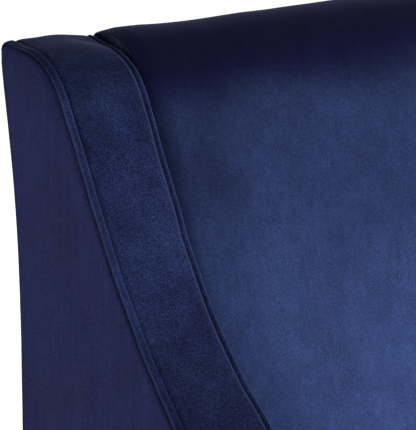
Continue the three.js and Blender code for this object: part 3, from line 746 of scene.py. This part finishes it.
def crowded(count):
    """Values from 0 to 1, closer together towards both ends."""
    return 0.5 - 0.5 * np.cos(np.pi * np.linspace(0, 1, count))


def eased(points, count):
    """Resampled with its points crowded towards both ends."""
    even = resample(points, count=2000)
    where = crowded(count) * (len(even) - 1)
    return np.stack([np.interp(where, np.arange(len(even)), even[:, k]) for k in range(2)], 1)


def distance_to(points, line):
    """Distance from each point to a dense polyline."""
    best = np.full(len(points), np.inf)
    for start in range(0, len(line), 64):
        part = line[start:start + 64]
        best = np.minimum(best, np.sqrt(((points[:, None] - part[None]) ** 2).sum(2)).min(1))
    return best


def rounded_edge(distance, radius):
    """How far a sheet turns in, at a distance from its edge."""
    near = np.clip(radius - distance, 0, radius)
    return radius - np.sqrt(radius ** 2 - near ** 2)


def seam_line():
    """The band's outer seam, front to rear, at the depth where the side panel meets it."""
    path = band_path(PATH_STEP)
    line = path - outward(path) * SEAM_DEPTH
    keep = (line[:, 1] > SKIRT_Z + 1 * MM) & (line[:, 0] < REAR_TOP_Y - SEAM_DEPTH - 1.5 * MM)
    return line[keep][::-1]


def split_front(line):
    """The seam line as the front edge and the top edge."""
    corner = np.argmax(line[:, 1] > line[:, 1][line[:, 0] < FRONT_Y + 20 * MM].max() - 8 * MM)
    return line[:corner + 1], line[corner:]


def panel_grid(line, rear, low_z, columns, rows):
    """A (y, z) grid from the seam line to a rear edge, its distance from the seam, its other edges."""
    front, top = split_front(line)
    bottom = np.array([(front[0][0], low_z), rear[0]])
    front = np.vstack([bottom[:1], front])
    top = np.vstack([top, rear[-1:]])
    grid = coons(eased(bottom, columns), eased(top, columns), eased(front, rows), eased(rear, rows))
    flat = grid.reshape(-1, 2)
    seam = resample(np.vstack([front, top]), step=1 * MM)
    return flat, distance_to(flat, seam), np.vstack([rear[::-1], bottom[::-1]])


def bulged(distance, shape):
    """How far a stuffed sheet lies in from its plane: rounded at its edge and full in its middle."""
    full = shape["fullness"] * (1 - np.exp(-distance / shape["reach"]))
    return rounded_edge(distance, shape["radius"]) - full


SIDE_GRID = (150, 130)
SIDE_PANEL = {"seam_round": 3 * MM, "edge_round": 2.5 * MM, "fullness": 0.9 * MM, "full_reach": 30 * MM,
              "crease_reach": 1.6 * MM, "wing_reach": 20 * MM, "behind": 1.8 * MM}
SIDE_WAVE = {"size": 0.21, "height": 0.35 * MM, "seed": 31}
# painted shade on the side panel, in the crease at its seam and under the wing's top: depth at each height
SIDE_CREASE_SHADE = {"z": [840, 900, 960], "depth": [0.7, 0.42, 0.15]}
UNDER_WING_SHADE = {"z": [935, 965], "depth": [0, 0.42]}
SHEET_THICKNESS = 1.4 * MM
WAVE_START = 0.03                # how far in from an edge a cloth's waves have their full height


def side_panel(side, label):
    line = seam_line()
    rear = rear_profile(line[-1][1]) + [SIDE_PANEL["behind"], 0]
    flat, from_seam, other = panel_grid(line, rear, SKIRT_Z, *SIDE_GRID)
    from_edge = distance_to(flat, resample(other, step=1 * MM))
    full = 1 - np.exp(-np.minimum(from_seam, from_edge) / SIDE_PANEL["full_reach"])
    depth = rounded_edge(from_seam, SIDE_PANEL["seam_round"])
    depth += rounded_edge(from_edge, SIDE_PANEL["edge_round"])
    depth -= SIDE_PANEL["fullness"] * full
    depth += waves(flat, SIDE_WAVE) * np.clip(from_seam / WAVE_START, 0, 1)
    # painted shade in the seam's crease and under the wing
    shade = -look_up(SIDE_CREASE_SHADE, "depth", flat[:, 1]) * np.exp(-from_seam / SIDE_PANEL["crease_reach"])
    shade -= look_up(UNDER_WING_SHADE, "depth", flat[:, 1]) * np.exp(-from_seam / SIDE_PANEL["wing_reach"])
    points = np.column_stack([side * (HALF_WIDTH - depth), flat])
    cover(f"side_panel_cover_{label}", f"outer_side_panel_{label}", points, grid_faces(*SIDE_GRID[::-1]),
          SIDE_VELVET, shade, flip=side < 0, thickness=SHEET_THICKNESS)


INNER_TOP = (352 * MM, 978 * MM)     # where the inner cover goes behind the back pad
INNER_BOTTOM = (232 * MM, DECK_Z)
INNER_GRID = (120, 90)
INNER_BULGE = {"radius": 3 * MM, "fullness": 1.6 * MM, "reach": 35 * MM}
INNER_WAVE = {"size": 0.17, "height": 0.5 * MM, "seed": 41}
# painted shade on the inner cover beside its seam: depth at each height
INNER_CREASE_SHADE = {"z": [920, 955], "depth": [0.60, 0.25]}


def inner_cover(side, label):
    line = seam_line()
    line = line[(line[:, 1] > DECK_Z) & (line[:, 0] < INNER_TOP[0])]
    flat, from_seam, _ = panel_grid(line, np.array([INNER_BOTTOM, INNER_TOP]), DECK_Z, *INNER_GRID)
    beside_seam = np.exp(-from_seam / SEAM_WIDTH)
    depth = bulged(from_seam, INNER_BULGE)
    depth -= look_up(INNER_DRIFT, "move", flat[:, 1]) * MM * beside_seam
    depth += waves(flat, INNER_WAVE) * np.clip(from_seam / WAVE_START, 0, 1)
    points = np.column_stack([side * (INNER_X + depth), flat])
    # painted shade beside the seam
    shade = -look_up(INNER_CREASE_SHADE, "depth", flat[:, 1]) * beside_seam
    cover(f"inner_arm_cover_{label}", f"inner_arm_pad_{label}", points, grid_faces(*INNER_GRID[::-1]),
          BAND_VELVET, shade, flip=side > 0, thickness=SHEET_THICKNESS)


# ------------------------------------------------------------------ back pad

SIDE_ROUND = 24 * MM             # rounding of the back pad next to a wing
TOP_ROUND_SHARE = 0.05           # how much of that rounding is left on top of the roll
REAR_EDGE = 9 * MM               # rounding of the roll's rear edge
REAR_ROOM = 1.5 * MM             # from the roll's rear to the outside back, and from its top to the CAD's
SIDE_ROOM = 0.6 * MM             # from the pad's side to the wing
REAR_CALM = {"reach": 8 * MM, "least": 0.15}     # the crown fades out towards the roll's rear
ROUND_FADE = {"z": [940, 995], "share": [1, TOP_ROUND_SHARE]}
TOP_RISE = {"x": [-285, -270, -247, -230, -200, -150, -125, -100, -50, 40, 120, 200, 250, 270, 285],
            "rise": [-1.6, 0.1, -0.4, -1.5, -2.3, -1.0, -1.3, -0.8, 0.0, 0.0, -0.6, -1.6, -0.6, 0.1, -1.4]}
# Painted shade on top of the roll, where the pile lies the other way and looks darker: (height, factor), and
# how much higher that change sits at each x.
ROLL_DARK = {"z": [930, 936, 944, 950, 956, 962, 967, 973, 978, 984, 990, 1006],
             "factor": [1, 0.98, 0.92, 0.80, 0.65, 0.50, 0.385, 0.295, 0.245, 0.225, 0.21, 0.19]}
ROLL_DARK_SHIFT = {"x": [-270, -230, -200, -170, -140, -110, -85, -70, -50, -35, 60, 200, 270],
                   "rise": [0, 0.5, 2, 5, 1.5, -3.2, -2.7, -2.4, 1, 4, 4, 3, 0],
                   "stretch": [1, 1.08, 1.2, 1.23, 0.92, 0.83, 0.72, 0.75, 0.8, 0.8, 0.8, 1, 1]}
ROLL_DARK_MIDDLE = 963
# painted shade on the pad beside the wing: at each height its depth, reach and where it starts, in mm
BESIDE_WING = {"z": [717, 760, 800, 850, 870, 890, 950, 975],
               "depth": [0.45, 0.52, 0.63, 0.80, 0.80, 0.58, 0.22, 0.05],
               "reach": [16, 16, 15, 12, 11, 10, 14, 14],
               "from": [33, 18, 8, 2, 1, 0, 0, 0]}
# painted shadow of the wing on the pad: at each height its depth, where it lies and how wide it spreads, in
# mm
PAD_WING_SHADOW = {"z": [690, 760, 860, 890, 960, 980], "depth": [0.10, 0.10, 0.06, 0.26, 0.22, 0.1],
               "at": [66, 64, 58, 48, 48, 48], "spread": [34, 34, 26, 22, 22, 22]}
LUMBAR = {"height": 9 * MM, "z": 600 * MM, "spread": 190 * MM}
PAD_CROWN = {"height": 15 * MM, "from": 330 * MM, "length": 700 * MM}
PAD_SWELL = {"size": 0.19, "height": 0.8 * MM, "seed": 51}
PAD_DIMPLE = {"size": 0.06, "height": 0.35 * MM, "seed": 52}
PAD_CALM = {"z": [930, 990], "share": [1, 0.3]}      # the roll is drawn tighter than the face
# The side of the pad against the top rail and the webbing, from the top down, as (y, z).
PAD_REAR = np.array([(388, 975), (388, 984), (359, 984), (359, 915), (252, 460), (252, 400), (246, 360)]) * MM


def back_profile():
    """The back pad's closed outline in (y, z), with how far each point follows the rounded sides."""
    roll_end = 180 - math.degrees(BACK_LEAN)
    roll = arc((ROLL_Y, ROLL_Z), ROLL_RADIUS, roll_end, 90, 40)
    face_top = roll[0]
    face_bottom = np.array([face_top[0] - (face_top[1] - PAD_LOW_Z) * math.tan(BACK_LEAN), PAD_LOW_Z])
    rear_y = REAR_TOP_Y - REAR_ROOM
    rear = arc((rear_y - REAR_EDGE, BACK_TOP_Z - REAR_ROOM - REAR_EDGE), REAR_EDGE, 90, 0, 10)
    outer = resample(np.vstack([[face_bottom], roll, rear, [(rear_y, PAD_REAR[0, 1])]]), step=5 * MM)
    lumbar = LUMBAR["height"] * np.exp(-((outer[:, 1] - LUMBAR["z"]) / LUMBAR["spread"]) ** 2)
    lumbar *= outer[:, 0] < face_top[0]
    outer = outer - np.stack([lumbar * math.cos(BACK_LEAN), -lumbar * math.sin(BACK_LEAN)], 1)
    crown_share = np.clip((rear_y - outer[:, 0]) / REAR_CALM["reach"], REAR_CALM["least"], 1)
    round_share = look_up(ROUND_FADE, "share", outer[:, 1])
    round_share[outer[:, 0] > ROLL_Y] = TOP_ROUND_SHARE
    none = np.zeros(len(PAD_REAR))
    return (np.vstack([outer, PAD_REAR]), np.concatenate([crown_share, none]),
            np.concatenate([round_share, none]), len(outer))


def pad_shade(x, from_side, height):
    """The painted shade down the pad at one x: dark on the roll and beside the wing."""
    shift, stretch = (look_up(ROLL_DARK_SHIFT, key, x) for key in ("rise", "stretch"))
    roll_height = ROLL_DARK_MIDDLE + (height / MM - shift - ROLL_DARK_MIDDLE) * stretch
    roll = look_up(ROLL_DARK, "factor", roll_height * MM)
    depth, reach, start = (look_up(BESIDE_WING, key, height) for key in ("depth", "reach", "from"))
    beside = 1 - depth * np.exp(-np.clip(from_side / MM - start, 0, None) / reach)
    depth, middle, spread = (look_up(PAD_WING_SHADOW, key, height) for key in ("depth", "at", "spread"))
    wing_shadow = 1 - depth * np.exp(-((from_side / MM - middle) / spread) ** 2)
    return (roll * beside * wing_shadow - 1) / (1 - DARKEST)


def back_pad():
    profile, crown_share, round_share, outer_count = back_profile()
    normal = np.zeros_like(profile)
    normal[:outer_count] = -outward(profile[:outer_count])
    half = INNER_X - SIDE_ROOM
    edge = SIDE_ROUND * (1 - np.cos(np.linspace(0, math.pi / 2, 16)))
    middle = np.linspace(SIDE_ROUND, half, 48)[1:]
    inset = np.concatenate([edge, middle])
    across = np.concatenate([-half + inset, (half - inset)[::-1][1:]])
    points, shade = [], []
    height = profile[:, 1]
    for x in across:
        from_side = half - abs(x)
        turn = rounded_edge(np.array([from_side]), SIDE_ROUND)[0]
        share = 1 - (abs(x) / half) ** 2.6
        up_the_back = np.clip((height - PAD_CROWN["from"]) / PAD_CROWN["length"], 0, 1)
        crown = PAD_CROWN["height"] * share * np.sin(np.pi * up_the_back) ** 0.8
        crown += look_up(TOP_RISE, "rise", x) * MM * np.clip((height - 940 * MM) / (50 * MM), 0, 1)
        here = np.column_stack([np.full(len(profile), x), profile])
        wave = (waves(here, PAD_SWELL) + waves(here, PAD_DIMPLE)) * look_up(PAD_CALM, "share", height)
        lift = (crown + wave) * crown_share - turn * round_share
        points.append(np.column_stack([here[:, 0], profile + normal * lift[:, None]]))
        shade.append(pad_shade(x, from_side, height) if from_side > 0 else np.zeros(len(profile)))
    cover("back_pad_cover", "back_pad", np.vstack(points), tube_faces(len(across), len(profile)),
          BACK_VELVET, np.concatenate(shade), flip=True)


# ------------------------------------------------------------------ flat seams

SEAM_STRIP = np.array([
    (-3.7, -1.6), (-3.9, -0.3), (-3.5, 0.7), (-2.4, 1.3), (0, 1.55), (2.4, 1.3), (3.5, 0.7), (3.9, -0.3),
    (3.7, -1.6)]) * MM
# painted shade at the strip's turned edges and painted highlight on its shoulders
SEAM_STRIP_SHADE = [-0.6, -0.3, 0.15, 0.1, 0.0, 0.1, 0.15, -0.3, -0.6]
SEAM_STITCH_LIFT = 1.2 * MM


def flat_seam(name, path, up, material, loop=False):
    """A folded seam lying on the cloth, with a stitch line along it."""
    up = np.broadcast_to(np.asarray(up, float), path.shape)
    points, faces = sweep(path, up, SEAM_STRIP, loop)
    shade = np.tile(SEAM_STRIP_SHADE, len(path))
    place(fix_normals(make_piece(name, points, faces, material, shade=shade)), "seat", "velvet")
    lifted = path + up / np.linalg.norm(up, axis=1)[:, None] * SEAM_STITCH_LIFT
    stitches(f"{name}_stitches", lifted, up)


# ------------------------------------------------------------------ seat cushion

CUSHION = {"voxel": 7 * MM, "inset": 7 * MM, "cap": 13 * MM, "corner": 32 * MM, "rear_gap": 12 * MM}
CUSHION_ROOM = {"deck": 0.4 * MM, "side": 2.2 * MM, "seam_side": 4 * MM}    # kept free round the cushion
CUSHION_RIM = 3 * MM             # height of the rim at its top and its bottom edge
CUSHION_WAVE = {"size": 0.16, "height": 1.2 * MM, "seed": 61}
WAVY_TOP = 20 * MM               # how far down from the top the waves reach
SEAM_TILT = 0.75                 # how far up or down a cushion seam faces, for each step outwards
FACE_TOP = (ROLL_Y - ROLL_RADIUS * math.cos(BACK_LEAN), ROLL_Z + ROLL_RADIUS * math.sin(BACK_LEAN))


def cushion_rear(z, inset=0.0):
    """y of the cushion's rear at a height, parallel to the face of the back pad."""
    face = FACE_TOP[0] - (FACE_TOP[1] - z) * math.tan(BACK_LEAN)
    return face - CUSHION["rear_gap"] - inset


def cushion_core():
    """A rounded block that follows the leaning back, ready to be inflated."""
    low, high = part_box("seat_cushion")
    inset = CUSHION["inset"]
    bottom, top = low.z + 2 * MM, high.z - 6 * MM
    corners = []
    for z in (bottom, top):
        rear = cushion_rear(z, inset)
        corners += [(low.x + inset, low.y + inset, z), (high.x - inset, low.y + inset, z),
                    (high.x - inset, rear, z), (low.x + inset, rear, z)]
    faces = [(3, 2, 1, 0), (4, 5, 6, 7), (0, 1, 5, 4), (1, 2, 6, 5), (2, 3, 7, 6), (3, 0, 4, 7)]
    piece = make_piece("seat_cushion_cover", corners, faces, SEAT_VELVET)

    def round_corners(work):
        work.verts.ensure_lookup_table()
        edges = [work.edges.get((work.verts[corner], work.verts[corner + 4])) for corner in range(4)]
        bmesh.ops.bevel(work, geom=edges, offset=CUSHION["corner"], segments=6, profile=0.5, affect="EDGES")
    return edit_mesh(piece, round_corners)


def applied(piece):
    """The piece with its modifiers made real."""
    depsgraph = bpy.context.evaluated_depsgraph_get()
    mesh = bpy.data.meshes.new_from_object(piece.evaluated_get(depsgraph))
    piece.modifiers.clear()
    piece.data = mesh
    return piece


def positions(mesh):
    flat = np.empty(len(mesh.vertices) * 3)
    mesh.vertices.foreach_get("co", flat)
    return flat.reshape(-1, 3)


AIR = {"quality": 5, "mass": 0.3, "tension_stiffness": 12, "bending_stiffness": 1.5, "use_pressure": True,
       "uniform_pressure_force": 4.0, "vertex_group_mass": "seam"}
AIR_FRAMES = 20


def inflate(piece, pinned):
    """Cloth under air pressure, started from the piece as it is; pinned points stay where they are."""
    group = piece.vertex_groups.new(name="seam")
    group.add([int(index) for index in np.flatnonzero(pinned)], 1.0, "REPLACE")
    cloth = piece.modifiers.new("air", "CLOTH")
    for key, value in AIR.items():
        setattr(cloth.settings, key, value)
    cloth.settings.effector_weights.gravity = 0
    cloth.point_cache.frame_start = 1
    cloth.point_cache.frame_end = AIR_FRAMES
    for frame_number in range(1, AIR_FRAMES + 1):
        bpy.context.scene.frame_set(frame_number)
    applied(piece)
    bpy.context.scene.frame_set(1)
    piece.vertex_groups.clear()


def seat_cushion():
    piece = cushion_core()
    remesh = piece.modifiers.new("even_faces", "REMESH")
    remesh.mode = "VOXEL"
    remesh.voxel_size = CUSHION["voxel"] * 1
    applied(piece)
    start = positions(piece.data)
    low, high = start.min(0), start.max(0)
    x, y, z = start.T
    near = CUSHION["voxel"] * 0.6
    on_side = (z > low[2] + CUSHION_RIM) & (z < high[2] - CUSHION_RIM)
    flat_face = (z - low[2] < near) | (high[2] - z < near)
    outer = (x - low[0] < near) | (high[0] - x < near) | (y - low[1] < near)
    outer |= np.abs(y - cushion_rear(z, CUSHION["inset"])) < near
    inflate(piece, flat_face & outer & ~on_side)
    step = positions(piece.data) - start
    length = np.linalg.norm(step, axis=1)
    step *= (np.minimum(length, CUSHION["cap"]) / np.maximum(length, 1e-9))[:, None]
    points = start + step
    points[:, 2] += waves(start, CUSHION_WAVE) * (z > high[2] - WAVY_TOP)
    points[:, 2] = np.maximum(points[:, 2], DECK_Z + CUSHION_ROOM["deck"])
    half = INNER_X - CUSHION_ROOM["side"]
    points[:, 0] = np.clip(points[:, 0], -half, half)
    points[:, 1] = np.minimum(points[:, 1], cushion_rear(points[:, 2]))
    piece.data.vertices.foreach_set("co", points.reshape(-1))
    piece.data.update()
    piece.data.materials.clear()
    piece.data.materials.append(SEAT_VELVET)
    piece.data.shade_smooth()
    smooth = piece.modifiers.new("soft", "SMOOTH")
    smooth.factor = 0.5
    smooth.iterations = 3
    applied(piece)
    round_off = piece.modifiers.new("round", "SUBSURF")
    round_off.levels = round_off.render_levels = 1
    place(piece, "seat", "velvet", "seat_cushion")
    cushion_seam(piece, "lower", low[2] + 4 * MM, -SEAM_TILT, low, high)
    cushion_seam(piece, "upper", high[2] - CUSHION_RIM, SEAM_TILT, low, high)


def cushion_seam(piece, edge_name, z, tilt, low, high):
    """A seam round the cushion, laid on its surface at its top or bottom edge."""
    corner = CUSHION["corner"]
    rear = cushion_rear(z, CUSHION["inset"])
    corners = [(high[0] - corner, low[1] + corner, -90), (high[0] - corner, rear - corner, 0),
               (low[0] + corner, rear - corner, 90), (low[0] + corner, low[1] + corner, 180)]
    outline = np.vstack([arc((x, y), corner, start, start + 90, 12) for x, y, start in corners])
    outline = resample(np.vstack([outline, outline[:1]]), step=5 * MM)[:-1]
    away = 20 * MM
    path, up = [], []
    following = np.roll(outline, -1, axis=0) - np.roll(outline, 1, axis=0)
    out = np.stack([following[:, 1], -following[:, 0]], 1)
    out /= np.linalg.norm(out, axis=1)[:, None]
    for (x, y), (out_x, out_y) in zip(outline, out):
        start = Vector((x + out_x * away, y + out_y * away, z + tilt * away))
        direction = Vector((-out_x, -out_y, -tilt)).normalized()
        hit, location, _, _ = piece.ray_cast(start, direction)
        if not hit:
            location = Vector((x, y, z))
        path.append(location - direction * 0.2 * MM)
        up.append(-direction)
    path = np.array(path)
    for _ in range(3):
        path = 0.5 * path + 0.25 * (np.roll(path, 1, axis=0) + np.roll(path, -1, axis=0))
    half = INNER_X - CUSHION_ROOM["seam_side"]
    path[:, 0] = np.clip(path[:, 0], -half, half)
    flat_seam(f"seat_cushion_seam_{edge_name}", path, np.array(up), SEAT_VELVET, loop=True)


# ------------------------------------------------------------------ front border, outside back and cloths

BORDER_TUCK = 6 * MM             # how far the border's ends go in behind the arms
BORDER_GRID = (120, 60)
BORDER_BULGE = {"radius": 6 * MM, "fullness": 2.2 * MM, "reach": 30 * MM}
BORDER_WAVE = {"size": 0.15, "height": 0.6 * MM, "seed": 71}
HEM_RISE = 14 * MM               # from an edge up to its line of stitches


def front_border():
    low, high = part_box("front_border")
    low.x, high.x = low.x - BORDER_TUCK, high.x + BORDER_TUCK
    across = np.linspace(low.x, high.x, BORDER_GRID[0])
    flat = flat_grid(across, np.linspace(low.z, high.z, BORDER_GRID[1]))
    edge = to_edge(flat, (low.x, low.z), (high.x, high.z))
    depth = bulged(edge, BORDER_BULGE) + waves(flat, BORDER_WAVE)
    points = np.column_stack([flat[:, 0], low.y + depth, flat[:, 1]])
    cover("front_border_cover", "front_border", points, grid_faces(*BORDER_GRID[::-1]), BAND_VELVET,
          sheet_shade(edge), thickness=5 * MM)
    hem = [(x, low.y - 1.2 * MM + 0.3 * MM * math.sin(x * 40), low.z + HEM_RISE) for x in across[2:-2]]
    stitches("front_border_hem_stitches", hem, (0, -1, 0))


def sheet_shade(edge):
    """Painted shade where a sheet turns in at its edges."""
    return -0.3 * np.exp(-edge / (3 * MM))


BACK_COVER_TOP = 991 * MM
BACK_BULGE = {"radius": 4 * MM, "fullness": 1.6 * MM, "reach": 40 * MM}
BACK_WAVE = {"size": 0.24, "height": 0.5 * MM, "seed": 81}
BACK_WAVE_START = 0.05
BACK_SEAM_INSET = {"side": 3.4 * MM, "top": 3 * MM, "ends": 12 * MM}


def outside_back():
    low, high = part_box("outside_back")
    line = resample(rear_profile(BACK_COVER_TOP), step=8 * MM)
    across = np.linspace(low.x, high.x, 130)
    flat = flat_grid(across, line[:, 1])
    edge = to_edge(flat, (low.x, low.z), (high.x, BACK_COVER_TOP))
    depth = bulged(edge, BACK_BULGE)
    depth += waves(flat, BACK_WAVE) * np.clip(edge / BACK_WAVE_START, 0, 1)
    points = np.column_stack([flat[:, 0], np.repeat(line[:, 0], len(across)) - depth, flat[:, 1]])
    cover("outside_back_cover", "outside_back", points, grid_faces(len(line), len(across)), SIDE_VELVET,
          sheet_shade(edge), flip=True, thickness=2 * MM)
    edge_line = resample(rear_profile(BACK_COVER_TOP), step=5 * MM)
    for side, label in ((1, "left"), (-1, "right")):
        seam_x = side * (HALF_WIDTH - BACK_SEAM_INSET["side"])
        path = np.column_stack([np.full(len(edge_line), seam_x), edge_line - [0.9 * MM, 0]])
        flat_seam(f"outside_back_seam_{label}", path, (side * 0.35, 1, 0), SIDE_VELVET)
    half = HALF_WIDTH - BACK_SEAM_INSET["ends"]
    path = np.array([(x, REAR_TOP_Y - 0.8 * MM, BACK_COVER_TOP - BACK_SEAM_INSET["top"])
                     for x in np.linspace(-half, half, 150)])
    flat_seam("outside_back_seam_top", path, (0, 1, 0), SIDE_VELVET)
    hem = [(x, REAR_LOW_Y + 0.6 * MM, SKIRT_Z + HEM_RISE) for x in across[3:-3]]
    stitches("outside_back_hem_stitches", hem, (0, 1, 0))


def stretched_cloth(name, node, columns, rows, ripple):
    """A flat cloth in the node's box with low waves that die out at its fastened edges."""
    low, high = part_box(node)
    flat = flat_grid(np.linspace(low.x, high.x, columns), np.linspace(low.y, high.y, rows))
    edge = to_edge(flat, (low.x, low.y), (high.x, high.y))
    z = (low.z + high.z) / 2 + waves(flat, ripple) * np.clip(edge / WAVE_START, 0, 1)
    piece = make_piece(name, np.column_stack([flat, z]), grid_faces(rows, columns), LINING)
    place(piece, "seat", "lining", node)


def dust_cover():
    ripple = {"size": 0.07, "height": 0.25 * MM, "seed": 91}
    stretched_cloth("dust_cover_cloth", "dust_cover", 90, 110, ripple)
    staples(*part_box("dust_cover"))


def seat_deck():
    ripple = {"size": 0.07, "height": 0.8 * MM, "seed": 92}
    stretched_cloth("seat_deck_cloth", "seat_deck", 80, 80, ripple)


STAPLE = {"half": 5.5 * MM, "wire": 0.45 * MM, "inset": 9 * MM, "spacing": 42 * MM, "from_corner": 30 * MM,
          "below": 0.35 * MM, "bow": 0.1 * MM}


def staples(low, high):
    """Flat wire staples round the dust cover."""
    inset, spacing, from_corner = (STAPLE[key] for key in ("inset", "spacing", "from_corner"))
    rows_x = np.arange(low.x + from_corner, high.x - from_corner, spacing)
    rows_y = np.arange(low.y + from_corner, high.y - from_corner, spacing)
    places = [(x, y, (1, 0, 0)) for y in (low.y + inset, high.y - inset) for x in rows_x]
    places += [(x, y, (0, 1, 0)) for x in (low.x + inset, high.x - inset) for y in rows_y]
    parts = []
    for x, y, direction in places:
        middle = np.array([x, y, low.z - STAPLE["below"]])
        half = np.array(direction) * STAPLE["half"]
        path = [middle - half, middle - [0, 0, STAPLE["bow"]], middle + half]
        parts.append(sweep(path, (0, 0, -1), round_section(STAPLE["wire"], 6)))
    shell("dust_cover_staples", parts, ZINC, "seat", "zinc_steel")


# ------------------------------------------------------------------ round base

RING = {"radius": 250 * MM, "tube": 12.5 * MM, "z": 18.5 * MM}
SPOKE_HALF = 19 * MM
HUB_RADIUS = 70 * MM
HUB_HOLE = 16 * MM
SPOKE_EDGE = 2.5 * MM            # rounding of the flat arms' and the hub's edges
BEAD_RADIUS = 1.9 * MM


def base_ring():
    section = round_section(RING["tube"], 28) + [RING["radius"], RING["z"]]
    shell("base_ring_tube", [lathe(section, 160)], BLACK_STEEL, "base", "black_steel", "base_ring")


def base_spokes():
    """Four flat arms and a hub, with their edges rounded, and weld beads where each arm meets the ring."""
    low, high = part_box("base_spokes")
    spoke_top = high.z - 1 * MM
    reach = RING["radius"] - RING["tube"] - 0.5 * MM
    edge = SPOKE_EDGE
    half_height = (spoke_top - low.z) / 2
    middle = (spoke_top + low.z) / 2
    section = np.vstack([
        arc((corner_x * (SPOKE_HALF - edge), corner_z * (half_height - edge)), edge, start, start + 90, 5)
        for corner_x, corner_z, start in ((1, 1, 0), (-1, 1, 90), (-1, -1, 180), (1, -1, 270))])
    parts, beads = [], []
    for quarter in range(4):
        angle = quarter * math.pi / 2
        direction = np.array([math.cos(angle), math.sin(angle), 0.0])
        side = np.array([-math.sin(angle), math.cos(angle), 0.0])
        path = [direction * r + [0, 0, middle] for r in np.linspace(HUB_RADIUS - 4 * MM, reach, 24)]
        parts.append(sweep(path, (0, 0, 1), section))
        beads.append([direction * (reach + 0.5 * MM) + side * w + [0, 0, spoke_top - 1.5 * MM]
                      for w in np.linspace(-SPOKE_HALF, SPOKE_HALF, 40)])
        for sign in (-1, 1):
            beads.append([direction * (reach + 0.8 * MM) + side * sign * (SPOKE_HALF + 0.3 * MM) + [0, 0, h]
                          for h in np.linspace(low.z + 1 * MM, spoke_top - 1 * MM, 24)])
    hub = np.vstack([
        [(HUB_HOLE, low.z), (HUB_RADIUS - edge, low.z)],
        arc((HUB_RADIUS - edge, low.z + edge), edge, -90, 0, 5),
        arc((HUB_RADIUS - edge, high.z - edge), edge, 0, 90, 5),
        [(HUB_HOLE, high.z)]])
    parts.append(lathe(hub, 96))
    shell("base_spokes_welded", parts, BLACK_STEEL, "base", "black_steel", "base_spokes")
    weld_beads(beads)


def weld_beads(lines):
    """A rippled bead along each line."""
    parts = []
    section = round_section(BEAD_RADIUS, 10)
    for number, line in enumerate(lines):
        points, faces = sweep(line, (0, 0, 1), section)
        rows = np.repeat(np.arange(len(line)), len(section))
        centre = np.repeat(line, len(section), axis=0)
        ripple = 1 + 0.12 * np.sin(rows * 2.1 + number)
        parts.append((centre + (points - centre) * ripple[:, None], faces))
    shell("base_weld_beads", parts, BLACK_STEEL, "base", "black_steel")


GLIDE_FOOT = [(0.74, 0.0), (0.86, 0.4), (0.96, 1.4), (1.0, 2.4)]    # share of the radius, height in mm
GLIDE_CHAMFER = 0.8 * MM


def floor_glides():
    for number in range(1, 5):
        low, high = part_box(f"floor_glide_{number}")
        centre = ((low.x + high.x) / 2, (low.y + high.y) / 2)
        outer = (high.x - low.x) / 2
        profile = [(0, low.z)] + [(outer * share, low.z + rise * MM) for share, rise in GLIDE_FOOT]
        profile += [(outer, high.z - GLIDE_CHAMFER), (outer - GLIDE_CHAMFER, high.z), (0, high.z)]
        points, faces = lathe(profile, 48, centre)
        piece = make_piece(f"floor_glide_pad_{number}", points, faces, NYLON)
        edit_mesh(piece, lambda work: bmesh.ops.remove_doubles(work, verts=work.verts, dist=1e-6))
        place(fix_normals(piece), "base", "nylon", f"floor_glide_{number}")


CAGE = {"circle": 52 * MM, "half_width": 9 * MM, "half_height": 1 * MM}
BALLS = {"count": 10, "radius": 3.6 * MM, "pole": 0.02}     # pole: where a ball's outline starts, in radians


def ball_cage():
    """The cage ring of the swivel with its balls."""
    low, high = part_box("swivel_ball_cage")
    z = (low.z + high.z) / 2
    parts = [lathe([(CAGE["circle"] + across * CAGE["half_width"], z + up * CAGE["half_height"])
                    for across, up in ((-1, -1), (1, -1), (1, 1), (-1, 1))], 96)]
    turn = np.linspace(BALLS["pole"], math.pi - BALLS["pole"], 13)
    outline = np.column_stack([BALLS["radius"] * np.sin(turn), z - BALLS["radius"] * np.cos(turn)])
    for centre in round_section(CAGE["circle"], BALLS["count"]):
        parts.append(lathe(outline, 20, centre))
    shell("swivel_balls", parts, ZINC, "ball_cage", "zinc_steel", "swivel_ball_cage")


for side_sign, side_name in ((1, "left"), (-1, "right")):
    arm_band(side_sign, side_name)
    arm_stitching(side_sign, side_name)
    side_panel(side_sign, side_name)
    inner_cover(side_sign, side_name)
back_pad()
seat_cushion()
front_border()
outside_back()
dust_cover()
seat_deck()
base_ring()
base_spokes()
floor_glides()
ball_cage()

# ------------------------------------------------------------------ carried-over CAD pieces

FINISHES = {
    "beech": BEECH, "plywood": PLYWOOD, "lining": LINING, "webbing": WEBBING, "black_steel": BLACK_STEEL,
    "zinc_steel": ZINC, "nylon": NYLON, "velvet": SEAT_VELVET}
EDGE_ROUNDING = {"beech": 2 * MM, "plywood": 1.2 * MM, "black_steel": 0.6 * MM, "zinc_steel": 0.5 * MM}
for subpart in frame["record"]["subparts"]:
    node = frame["nodes"][subpart["node"]]
    node.data.materials.clear()
    node.data.materials.append(FINISHES[subpart["material_slot"]])
    if subpart["material_slot"] in EDGE_ROUNDING and not node.hide_render:
        weld = node.modifiers.new("weld", "WELD")
        weld.merge_threshold = 1e-5
        bevel = node.modifiers.new("rounded_edges", "BEVEL")
        bevel.width = EDGE_ROUNDING[subpart["material_slot"]]
        bevel.segments = 2
        bevel.limit_method = "ANGLE"
        bevel.angle_limit = math.radians(40)
